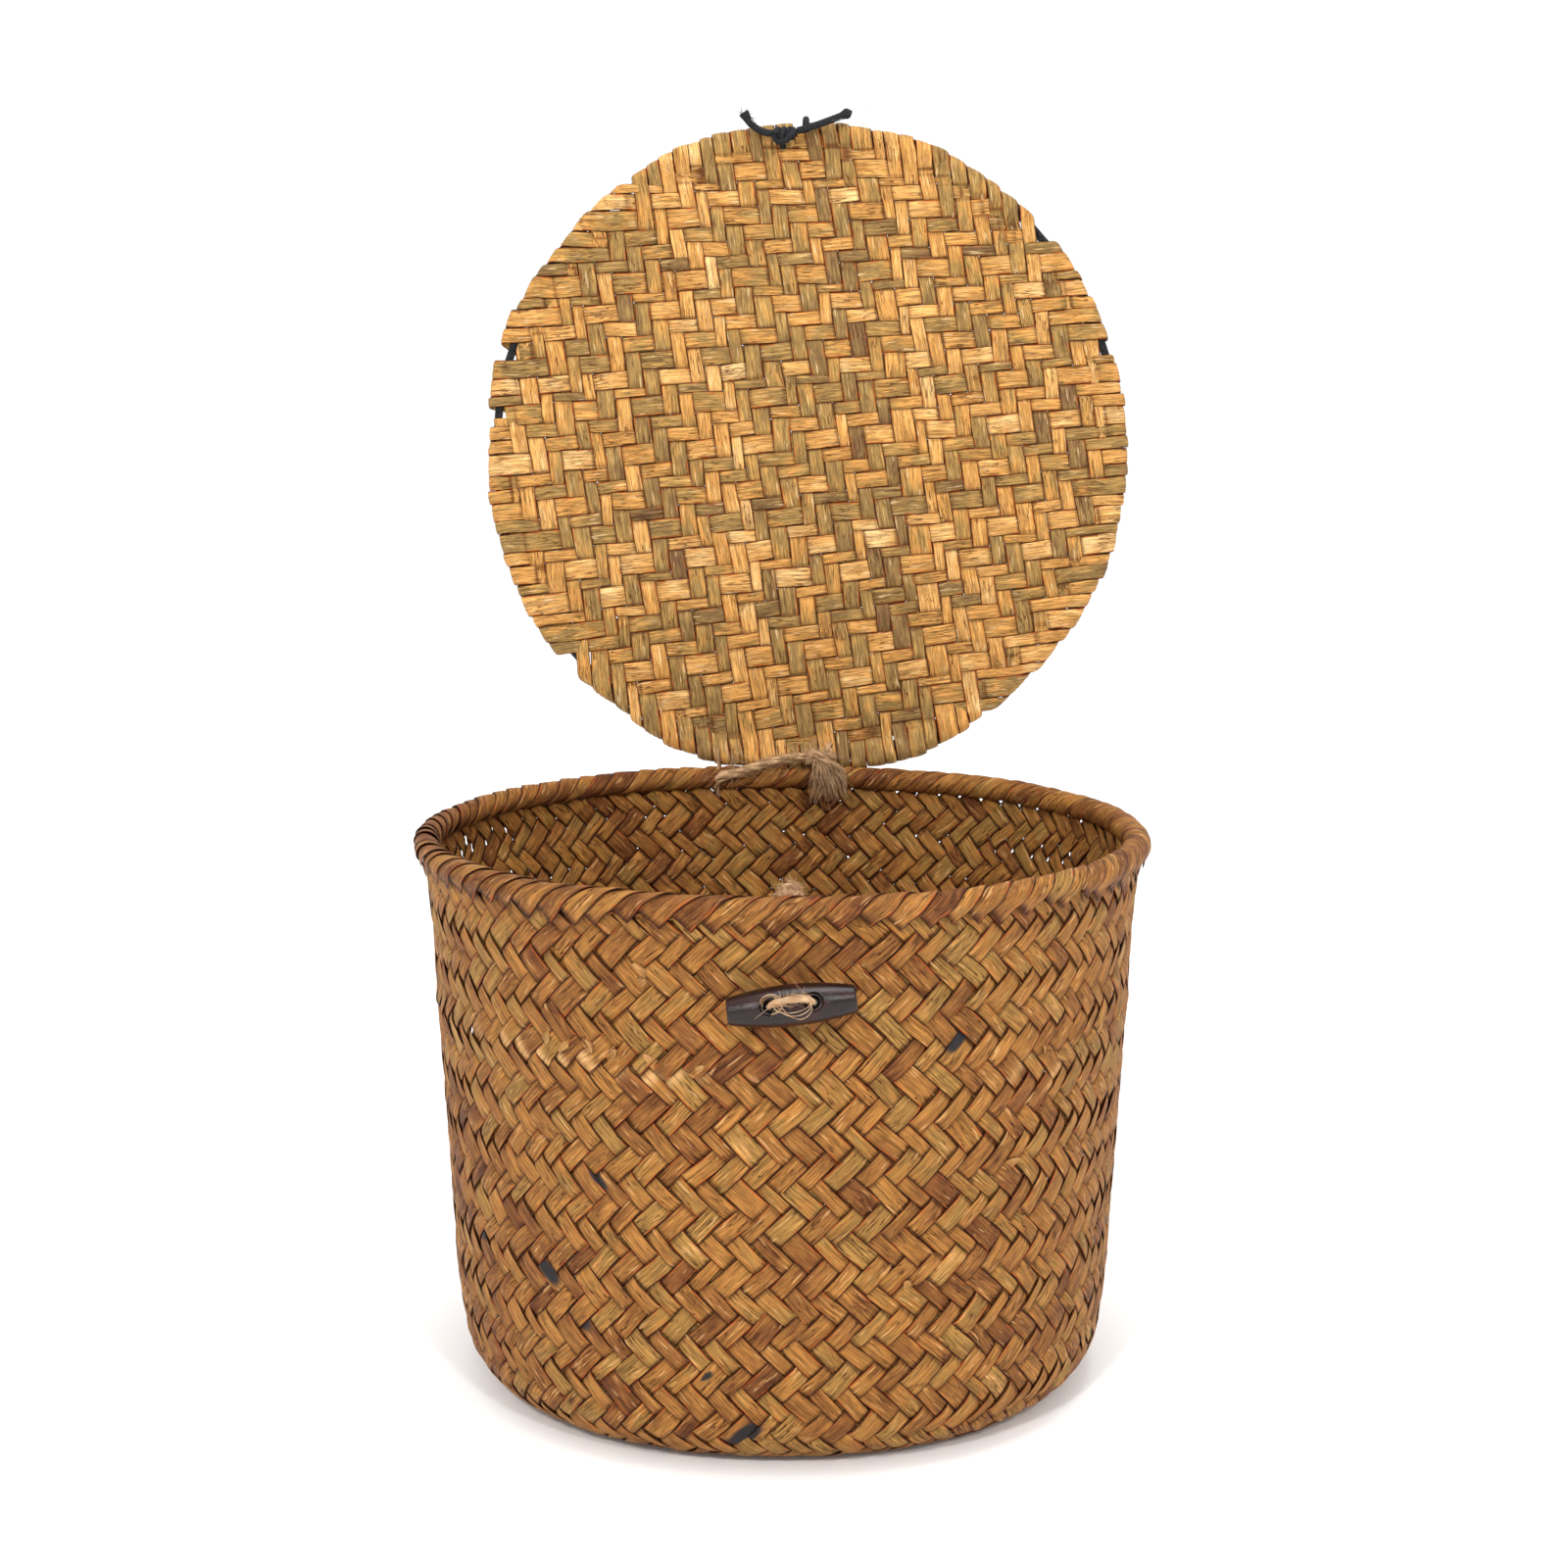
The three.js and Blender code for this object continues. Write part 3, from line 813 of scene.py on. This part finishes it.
def tear(number, x, z, way, long):
    """One torn end as a strip that lifts off the wall and narrows."""
    rising = way == RISING
    share = np.linspace(0, 1, 14)
    u = STRIPS * math.asin(x / WALL[-2][1]) / (2 * math.pi)
    v = EDGE_V + (FILLET_RUN + z - FILLET) / ROW
    run = (u + v if rising else u - v) + long * (share - 0.5) * (1 if number % 3 else -1)
    middle = (u - v if rising else u + v) + 0.12 * share ** 2
    half = (0.2 + 0.16 * chance(number, 51)) * (1 - 0.75 * share ** 3)
    height = 0.3 + 2.3 * share ** 2.2
    tilt = 0.5 * signed(number, 52) * share
    points = ribbons(run, middle, half, height, tilt, on_pot(rising, 0.0))
    whole = 0 * run
    tone = 0.3 + 0.5 * chance(number, 53) + whole
    return (points, tone, LEAF_WIDTH * run, LEAF_WIDTH * half, number + 500 + whole, 1 + whole,
            whole, 0.5 * share)


def make_tears(leaf):
    strips = [tear(number, *place) for number, place in enumerate(TEARS)]
    weave_piece("pot_torn_ends", strips, leaf, "weave", "basket", "basket_body")


# ---- Rim ----
RIM_STEPS = 34
RIM_FROM_V = 0.8
RIM_ANGLE_FROM = math.radians(-78)
RIM_LEAVES = math.radians(-48)
RIM_TURN = ROW / (RIM_TUBE - 0.5)
RIM_TIP = 1.1


def rim_place(u, v, rise):
    """Points of the rolled rim: a leaf leaves the wall, goes over the tube and down inside.

    The rim tips: its back stands a little higher than its front.
    """
    angle = 2 * math.pi * u / STRIPS
    around = RIM_ANGLE_FROM + (v - RIM_FROM_V) * RIM_TURN
    below = np.maximum(RIM_LEAVES - around, 0) / RIM_TURN * ROW
    around = np.maximum(around, RIM_LEAVES)
    reach = RIM_TUBE - 0.7 + rise
    radius = RIM_RADIUS + reach * np.cos(around) - 0.3 * below
    uneven = 0.2 * np.sin(5 * angle + 2) + 0.15 * np.sin(11 * angle)
    z = RIM_Z + reach * np.sin(around) - below - RIM_TIP * np.cos(angle) + uneven
    return np.stack([radius * np.sin(angle), -radius * np.cos(angle), z], -1)


def make_rim(leaf):
    """Each strip that leans right ends in one broad wrap over the rim."""
    which = np.arange(STRIPS, dtype=float)[:, None]
    share = np.linspace(0, 1, RIM_STEPS)[None, :]
    start = which + 2.5 + 0.3 * signed(which, 31)
    run = start + (which + 8.2 - start) * share
    low = border(which, SPREAD, RISING)
    high = border(which + 1, SPREAD, RISING)
    middle = (low + high) / 2 + 0.06 * drift(run, which, 32)
    half = (high - low) / 2 + 0.15 + 0 * run
    height = 0.2 * drift(run * 0.8, which, 33) - 0.8 * smooth(0.92, 1, share)
    height = height + 0.25 * (1 - smooth(0, 0.12, share))
    tilt = 0.5 + 0.15 * signed(which, 34) + 0 * run

    def place(across, along, rise):
        return rim_place((across + along) / 2, (along - across) / 2, rise)
    points = ribbons(run, middle, half, height, tilt, place)
    tone = 0.08 + 0.46 * chance(which, 35) + 0.14 * drift(run / 2, which, 36)
    # Painted shade where the wrap comes out from under the weave at its start.
    tuck_shade = smooth(-0.02, 0.1, share) + 0 * run
    seed = which + 300 + 0 * run
    strips = list(zip(points, tone, LEAF_WIDTH * run, LEAF_WIDTH * half, seed, tuck_shade))
    # under=1.26 widens the painted shade line on the side that lies under the next wrap.
    weave_piece("rim_wraps", strips, leaf, "rim_strip", "basket", "rim_border", under=1.26)


# ---- Lid ----
LID_RISE = 0.5
LID_STEPS = 5
FOLD = LID_EDGE - 0.8
LEVEL_FROM = math.cos(math.radians(48.75))
LEVEL_TURN = math.radians(7)
FOLD_BACK = 9.0
SHORT_BY = 2.4
LEAST_SLOPE = 0.42
LID_SPREAD = 0.24
LEVEL, UPRIGHT = 41, 42
# Strips that are cut short at the lid's edge, where the hoop shows: the family, the strip's
# number, and whether it is its right or upper end.
SHORT_ENDS = {(UPRIGHT, 2, True), (LEVEL, 3, False), (LEVEL, 7, False), (LEVEL, 5, True),
              (LEVEL, -14, False)}


def lid_warp(x, z):
    """The strips aren't quite square: the upright ones lean left and the level ones climb."""
    return x - z * UPRIGHT_LEAN, z + x * (LEVEL_CLIMB - LEVEL_FAN * z)


# Places where the lid's edge stands out past its hoop: the angle round the lid, how far it
# stands out in millimetres, and how wide the place is.
LID_SAGS = [(1.55, 0.7, 0.15), (-1.57, 1.4, 0.4), (-2.5, 2.8, 0.25), (-1.95, 3.2, 0.2), (-1.22, 2.8, 0.2),
            (-0.42, 1.4, 0.3), (2.8, 2.2, 0.22), (-2.95, 1.4, 0.2), (1.2, 1.6, 0.15), (1.95, 1.4, 0.15)]


def lid_sag(x, z):
    angle = np.arctan2(z, x)
    return sum(far * np.exp(-((angle - at) / wide) ** 2) for at, far, wide in LID_SAGS)


def lid_place(x, z, rise, reach_middle, pull):
    """Points of the lid: a flat cloth that folds round the hoop past the hoop's radius.

    reach_middle is how far out the strip's centre line is, and pull moves its fold inwards.
    """
    x, z = lid_warp(x, z)
    reach = np.hypot(x, z)
    folding = 0.75 * reach + 0.25 * reach_middle + pull - lid_sag(x, z)
    over = np.maximum(folding - HOOP_RADIUS, 0)
    bend = np.minimum(over / FOLD, math.pi)
    back = np.maximum(over - math.pi * FOLD, 0)
    lift = smooth(HOOP_RADIUS - 10, HOOP_RADIUS, folding)
    out = reach - over + (FOLD + rise * lift) * np.sin(bend) - back
    front = rise * (1 - lift) + lift * (FOLD + rise) * np.cos(bend)
    front = front + smooth(0, 7, back) * (FOLD - LID_RISE - 0.7)
    scale = out / np.maximum(reach, 1e-6)
    warp = 0.6 * np.sin(x / 37 + 1) * np.sin(z / 43)
    return np.stack([x * scale, -(front + warp), z * scale + HOOP_RADIUS], -1)


def lid_ends(number, way, middle_line):
    """Where a strip of the lid ends: the edge's place, whether it folds there, and its own end."""
    search = np.arange(-150, 150, 0.5)
    inside = search[np.hypot(*middle_line(search)) < HOOP_RADIUS - 0.4]
    if len(inside) < 30:
        return None
    ends = []
    for end in (inside[0], inside[-1]):
        x, z = middle_line(np.array([end, end * 0.99]))
        angle = math.atan2(z[0], x[0])
        slope = max(LEAST_SLOPE, (math.hypot(x[0], z[0]) - math.hypot(x[1], z[1])) / abs(end * 0.01))
        folds = (abs(math.cos(angle + LEVEL_TURN)) > LEVEL_FROM) == (way == LEVEL)
        folds = folds and (way, number, end > 0) not in SHORT_ENDS
        more = (math.pi * FOLD + FOLD_BACK if folds else -SHORT_BY) / slope
        ends.append((end, folds, end + more * math.copysign(1, end)))
    return ends


def lid_height(phase, reach, folds, other):
    """Over and under, and near the edge on top where the strip folds, or below where it ends."""
    near = np.where(folds, smooth(HOOP_RADIUS - 1.1 * other, HOOP_RADIUS - 0.5 * other, reach),
                    smooth(HOOP_RADIUS - 1.5 * other, HOOP_RADIUS - 0.9 * other, reach))
    return LID_RISE * wave(phase, 3.0) * (1 - near) + np.where(folds, LID_RISE, -LID_RISE) * near


def lid_strip(number, way):
    """One strip of the lid, or None past the edge."""
    level = way == LEVEL
    cross = UPRIGHT if level else LEVEL
    pitch, other = (LEVEL_PITCH, UPRIGHT_PITCH) if level else (UPRIGHT_PITCH, LEVEL_PITCH)
    centre = (number + 0.5) * pitch

    def middle_line(along):
        return lid_warp(along, centre + 0 * along) if level else lid_warp(centre + 0 * along, along)
    ends = lid_ends(number, way, middle_line)
    if ends is None:
        return None
    count = max(12, int((ends[1][2] - ends[0][2]) / other * LID_STEPS))
    along = np.linspace(ends[0][2], ends[1][2], count)
    reach = np.hypot(*middle_line(along))
    phase = evened(along / other, LID_SPREAD, cross) + number - (1 if level else 3)
    visit, skew, pinch = floats(phase, number, way, 0.07)
    later = along > 0
    height = lid_height(phase, reach, np.where(later, ends[1][1], ends[0][1]), other)
    low = border(number, LID_SPREAD, way) + 0.05 * drift(along / 19, number, way)
    high = border(number + 1, LID_SPREAD, way) + 0.05 * drift(along / 19, number + 1, way)
    half = pitch * ((high - low) / 2 - pinch)
    middle = pitch * ((low + high) / 2 + skew)
    tilt = 0.16 * signed(number, visit, way + 12)
    pull = (0.5 * signed(number, np.where(later, 1, 2), way + 15))[:, None]

    def place(across, run, rise):
        pair = (run, across) if level else (across, run)
        return lid_place(*pair, rise, reach[:, None], pull)
    points = ribbons(along, middle, half, height, tilt, place)
    tone = (0.05 + 0.66 * chance(number, way + 18) + 0.2 * chance(number, visit, way + 21)
            + 0.12 * drift(along / 30, number, way + 25))
    # Painted shade: low where the strip dives under a crossing strip, high on top of its float.
    tuck_shade = smooth(-0.3, 0.85, np.abs(height) / LID_RISE)
    return points, tone, along, half, number + 10.0 * way + 0 * along, tuck_shade


def make_lid(leaf):
    for way, name in ((LEVEL, "lid_strips_level"), (UPRIGHT, "lid_strips_upright")):
        strips = [lid_strip(number, way) for number in range(-28, 28)]
        weave_piece(name, [strip for strip in strips if strip], leaf, "lid_weave", "lid", "lid_panel",
                    "lid_border", matrix=lid_matrix(), flip=way == LEVEL)


# ---- Elastic ----
# The loop's route and its ends, in the lid's frame, as in the CAD model.
ELASTIC_LOOP = [
    (-0.6, -4.5, 228.6), (-0.6, -3.6, 231.8), (-0.6, -0.2, 233.7), (-0.6, 3.6, 231.8),
    (-0.6, 4.9, 228.2), (-0.4, 5.2, 222), (0.4, 5.8, 214), (0.7, 6.5, 204),
    (-0.3, 7.2, 195.5), (-5.2, 7.8, 190), (-10.1, 7.2, 195.5), (-11.1, 6.5, 204),
    (-10.9, 5.8, 214), (-10, 4.4, 220.5), (-9.2, 2.4, 223.8), (-9, 0, 224.2), (-9, -2.6, 223.9)]
ELASTIC_LEFT = [(-8.5, -6.2, 228.1), (-11.1, -6, 227.9), (-14, -6.1, 227.8), (-17.5, -6.2, 229),
                (-20.8, -6.3, 231.5), (-23, -6.3, 235)]
ELASTIC_RIGHT = [(-3.5, -7.2, 228.4), (-1.2, -7.4, 229), (3.6, -7.6, 230.4), (8.4, -7.5, 232.1),
                 (12.8, -7.3, 233.8), (16.4, -7.1, 235.3)]


def elastic_ends(braid):
    """The left end, which is frayed, and the right one, which swells and is round at its cut."""
    share = np.linspace(0, 1, 40)
    left = curve_through(ELASTIC_LEFT, 40)
    frayed = 1.08 * ELASTIC * (1 + 0.5 * smooth(0.8, 1, share))
    fray = fibres(left[-4:], 22, 3.0, 61, thick=0.13, lift=1.2)
    right = curve_through(ELASTIC_RIGHT, 40)
    bulb = 1.08 * ELASTIC * (1 + 0.5 * smooth(0.78, 0.9, share)) * np.sqrt(1.001 - smooth(0.9, 1, share))
    ends = [cord_piece("elastic_end_left", [(left, frayed)] + fray, 12, braid, "lid",
                       "elastic_tail_left", matrix=lid_matrix()),
            cord_piece("elastic_end_right", [(right, np.maximum(bulb, 0.1))], 12, braid, "lid",
                       "elastic_tail_right", matrix=lid_matrix())]
    hairs = fibres(right[-10:], 7, 5.0, 63, thick=0.07, lift=0.9)
    hairs += fibres(left[-8:], 8, 3.5, 64, thick=0.06, lift=0.9)
    return ends, hairs


def elastic_knot(braid):
    """Turns of the cord round a core, with one bight that hangs below them."""
    turn = np.linspace(0, 2 * math.pi * 2.6, 100)
    wraps = np.stack([-11 + 5.6 * turn / turn[-1], -6.5 - 1.7 * np.cos(turn),
                      227.2 + 1.9 * np.sin(turn)], 1)
    bight = curve_through([(-12, -6.4, 226.6), (-10.4, -7.2, 224.7), (-7.6, -8.6, 224.9),
                           (-5.4, -9, 227), (-4.4, -7.2, 228.4)], 30)
    core = curve_through([(-11.8, -6.2, 227.6), (-8.2, -6.4, 227.2), (-4, -6.9, 228.2)], 12)
    parts = [(wraps, 1.1), (bight, 1.1), (core, 1.8)]
    return cord_piece("elastic_knot_wraps", parts, 12, braid, "lid", "elastic_knot", matrix=lid_matrix())


def make_elastic(braid, lint):
    route = curve_through(ELASTIC_LOOP, 150)
    loop = cord_piece("elastic_cord", [(route, ELASTIC)], 14, braid, "lid", "elastic_loop",
                      matrix=lid_matrix())
    ends, hairs = elastic_ends(braid)
    knot = elastic_knot(braid)
    loose = cord_piece("elastic_lint", hairs, 4, lint, "lid", matrix=lid_matrix())


# ---- Twine hinge, in the hinge's frame ----
def tie_route(x, reach):
    """A loop round the lid's hoop, about the hinge line, and round the rim through the wall."""
    over = [(x, reach * math.cos(a), reach * math.sin(a))
            for a in np.radians(np.linspace(-20, 200, 9))]
    under = [(x, -6.2, -6), (x, -6.4, -9.5), (x, -4.6, -13.2), (x, -1.6, -14.7),
             (x, 2.2, -14.7), (x, 5.4, -13.2), (x, 7, -9.5), (x, 6.6, -6)]
    return np.array(over + under + over[:1])


# The two loops: name, place along the hinge, reach, radius of the twine and CAD node.
TIES = [("hinge_loop_left", TIE_LEFT, 4.0, 0.6, "hinge_tie_left"),
        ("hinge_loop_right", TIE_RIGHT, 5.2, 1.5, "hinge_tie_right")]


def make_ties(jute):
    for name, x, reach, radius, node in TIES:
        route = curve_through(tie_route(x, reach), 120)
        parts = plies(route, radius, 2, 9) + fibres(route, 60, 4.5, x, thick=0.06, lift=radius)
        cord_piece(name, parts, 8, jute, "basket", node, matrix=hinge_matrix())


HINGE_STRAND = [(-33, -5.4, -9), (-30.8, -7.4, -6), (-24.9, -7.8, -4.4), (-17.9, -7.6, -2),
                (-10.7, -7.4, 0.2), (-3.7, -7.4, 1.6), (1.8, -7.6, 2.2)]
HINGE_KNOT = (2.2, -8, 1.8)
# The bridge of the knot, which goes over the strand.
BRIDGE = [(1.2, -8.6, 2.8), (4.4, -8.8, 3), (8, -8.2, 2.4), (11.6, -7, 1.6)]
# The two bunches of the frayed end: where they end, how wide they spread, and how many fibres.
TASSELS = [((12, -10.8, -11.4), (4.2, 1.8, 2.8), 120), ((3.6, -10.4, -12.6), (2.8, 1.4, 3.2), 34)]


def tassel(end, spread, count, seed):
    parts = []
    start = np.array((3.4, -9, 1.2))
    for n in range(count):
        wander = np.array([signed(n, seed + k) for k in range(3)]) * spread
        tip = np.array(end) + wander
        begin = start + 0.3 * wander + np.array((3 * chance(n, seed + 4), 0, 0))
        halfway = (begin + tip) / 2 + 0.4 * wander + np.array((1.6, -1.2, 1.4))
        line = curve_through([begin, halfway, tip], 14)
        parts.append((line, 0.21 * np.linspace(1, 0.4, 14)))
        if n % 3 == 0:
            parts += fibres(line, 1, 7, 90 + n, thick=0.07, lift=0.2, start=0.3)
    return parts


def strand_parts():
    """The strand, which thins out towards the knot, and a tuft that stands up near its start."""
    strand = curve_through(HINGE_STRAND, 90)
    swell = 2.2 - 0.7 * np.linspace(0, 1, 90)
    upright = curve_through([(-27, -6.6, -3.6), (-26, -6.4, 0), (-24.6, -6.2, 3)], 10)
    return (plies(strand, swell, 4, 34, thick=0.54) + fibres(strand, 150, 7, 71, thick=0.06, lift=1.7)
            + fibres(upright, 40, 6, 72, thick=0.07, lift=0.4))


def hinge_knot_parts():
    """One turn and a half round the strand, a bridge over it and a loose tuft."""
    turn = np.linspace(0, 2 * math.pi * 1.6, 50)
    x, y, z = HINGE_KNOT
    wrap = np.stack([x + 0.9 * np.cos(turn) + 0.6 * turn / turn[-1], y - 1.5 * np.sin(turn),
                     z + 1.8 * np.cos(turn)], 1)
    bridge = curve_through(BRIDGE, 30)
    tuft = curve_through([(3.4, -9.4, 1.4), (6, -10, -1.6), (8, -10.2, -5)], 20)
    return (plies(wrap, 1.5, 3, 12, thick=0.5) + plies(bridge, np.linspace(1.9, 1.3, 30), 4, 16, thick=0.5)
            + fibres(bridge, 120, 6, 73, thick=0.07, lift=1.3)
            + fibres(tuft, 140, 5, 74, thick=0.08, lift=0.9))


def make_hinge_twine(jute):
    """The strand, knot and frayed end, which lie on the rim."""
    frayed = [part for n, shape in enumerate(TASSELS) for part in tassel(*shape, 200 + 40 * n)]
    for name, parts, ring, node in (("hinge_twine_strand", strand_parts(), 9, "hinge_strand"),
                                    ("hinge_twine_knot", hinge_knot_parts(), 8, "hinge_knot"),
                                    ("hinge_twine_tassel", frayed, 5, "hinge_tassel")):
        piece = cord_piece(name, parts, ring, jute, None, node, matrix=hinge_matrix())
        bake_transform(piece)


# ---- Toggle, in its own frame ----
def make_toggle(wood):
    half = TOGGLE_LENGTH / 2
    body = np.linspace(-half + 0.6, half - 0.6, 190)
    ends = [(-half, 0.02), (-half, 0.55), (-half, 0.84), (-half + 0.14, 0.94), (-half + 0.32, 0.98)]
    x = np.array([e[0] for e in ends] + list(body) + [-e[0] for e in ends[::-1]])
    shrink = np.array([e[1] for e in ends] + [1.0] * len(body) + [e[1] for e in ends[::-1]])
    radius = (TOGGLE_END + (TOGGLE_MIDDLE - TOGGLE_END) * (1 - (x / half) ** 2)) * shrink
    turn = np.linspace(0, 2 * math.pi, 168, endpoint=False)[None, :]
    x, radius = x[:, None] + 0 * turn, radius[:, None]
    y, z = -radius * np.cos(turn), radius * np.sin(turn)
    for centre in (-TOGGLE_HOLE_SPACING / 2, TOGGLE_HOLE_SPACING / 2):
        away = np.hypot(x - centre, z)
        well = 2.3 * (1 - smooth(2.5, 2.95, away)) + 5 * (1 - smooth(1.5, 1.75, away))
        y = np.where(y < 0, np.maximum(y, -TOGGLE_MIDDLE + well), np.minimum(y, TOGGLE_MIDDLE - well))
    points = np.stack([x, y, z], -1)
    grain = np.stack([x, radius * turn + 0 * x, 0 * x], -1).reshape(-1, 3)
    piece = build("toggle_barrel", *joined([points], flip=True), toggle_matrix(), grain=grain)
    finish_piece(piece, wood, "toggle_wood", "toggle", "toggle")


FRONT = -TOGGLE_MIDDLE - 1.3
HOLE = TOGGLE_HOLE_SPACING / 2
RISER = [(2.7, -108.9, 147), (2.7, -108.7, 155), (2.8, -108.9, 163), (2.6, -108.6, 170),
         (2.5, -107.6, 176.2)]


def stitch_parts():
    """The twine through both holes, and the thicker bar of strands across the front."""
    side = [(0, FRONT, 1), (2.6, FRONT, 1), (HOLE - 1.4, FRONT + 0.6, 0.8),
            (HOLE - 0.2, FRONT + 2.2, 0), (HOLE, -3, 0), (HOLE, 3, 0), (HOLE - 0.4, 5.6, 0),
            (3.8, 7.6, 0), (1.8, 8.8, 0), (1.7, 12.4, 0)]
    other = [(-x, y, z) for x, y, z in side[:0:-1]]
    route = curve_through(other + side, 150)
    bar = curve_through([(-4.9, FRONT + 1.2, 0.2), (-2.4, FRONT, 0.9), (0, FRONT - 0.2, 1.3),
                         (2.8, FRONT, 1.1), (5, FRONT + 1.3, 0.8)], 60)
    parts = plies(route, 0.9, 3, 9) + plies(bar, np.linspace(0.85, 1.15, 60), 7, 26, thick=0.36)
    parts += fibres(bar, 200, 2.2, 101, thick=0.04, lift=0.7)
    return parts + fibres(bar, 10, 5.5, 102, thick=0.08, lift=1.3)


def loose_threads():
    """Threads that hang in loops below the bar, and ones that ring the left hole."""
    parts = []
    for n, drop in enumerate((2.6, 3.6, 4.6)):
        loop = [(-5.2 + n, FRONT + 0.3, -0.2), (-3.6 + 1.6 * n, FRONT - 0.8, -drop * 0.8),
                (0.4 + 1.2 * n, FRONT - 0.5, -drop), (4.4 + 0.5 * n, FRONT - 0.3, -drop * 0.6),
                (5.6, FRONT + 0.4, 0.6)]
        parts.append((curve_through(loop, 30), 0.1))
    for n, size in enumerate((2.7, 3.3, 3.6)):
        turn = np.linspace(0.6 + 0.3 * n, 5 + 0.3 * n, 24)
        ring = np.stack([-HOLE + 0.6 - size * np.cos(turn - 0.8) * 0.9, FRONT + 0.5 + 0 * turn,
                         0.4 + size * 0.8 * np.sin(turn - 0.8)], 1)
        parts.append((ring, 0.07))
    return parts


def toggle_knot_parts():
    """The fuzzy knot just above the rim: turns round a core, and an arch over them."""
    turn = np.linspace(0, 2 * math.pi * 2.2, 60)
    knot = np.stack([2.3 + 2 * np.cos(turn * 0.5), -107.2 + 1.2 * np.sin(turn),
                     178.8 + 1.4 * np.cos(turn)], 1)
    arch = curve_through([(-1, -107.4, 178), (0.2, -107.6, 180.4), (2.4, -107.8, 181.3),
                          (4.6, -107.6, 180.2), (5.6, -107.4, 177.8)], 40)
    core = curve_through([(-1, -107.2, 177.8), (2.3, -107.3, 179), (5.4, -107.2, 177.6)], 30)
    return (plies(knot, 1.2, 2, 7) + plies(arch, 0.9, 3, 12) + plies(core, 1.9, 4, 9, thick=0.5)
            + fibres(arch, 200, 2.6, 104, thick=0.07, lift=0.8))


def make_toggle_twine(thread):
    cord_piece("toggle_twine", stitch_parts() + loose_threads(), 7, thread, "toggle", "toggle_stitch",
               matrix=toggle_matrix())
    riser = curve_through(RISER, 60)
    parts = plies(riser, 1.1, 3, 8) + fibres(riser, 40, 3, 103)
    cord_piece("toggle_twine_riser", parts, 7, thread, "basket", "toggle_riser")
    cord_piece("toggle_twine_knot", toggle_knot_parts(), 7, thread, "basket", "toggle_knot")


def dress_node(node, material):
    """A CAD node that stays as it is, with a better material."""
    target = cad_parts[node]
    target.data.materials.clear()
    target.data.materials.append(material)


make_camera()
lint = twine_looks("lint", colour(150, 150, 150), colour(215, 215, 212))
make_elastic((elastic_looks(), "elastic"), (lint, "elastic"))
make_stage()
pot_leaf = leaf_looks("pot_leaf", *WALL_COLOURS, roughness=0.6, cracked=0.1)
make_pot(pot_leaf)
make_tears(pot_leaf)
make_rim(leaf_looks("rim_leaf", *WALL_COLOURS, roughness=0.55, cracked=0.14))
make_lid(leaf_looks("lid_leaf", *LID_COLOURS, roughness=0.5, cracked=0.08))
jute = (twine_looks("jute", colour(118, 86, 54), colour(216, 176, 134)), "jute")
make_ties(jute)
make_hinge_twine(jute)
make_toggle(wood_looks())
make_toggle_twine((twine_looks("thread", colour(150, 108, 72), colour(226, 190, 150)), "thread"))
dress_node("lid_hoop", wire_looks())
dress_node("rim_core", core_looks())
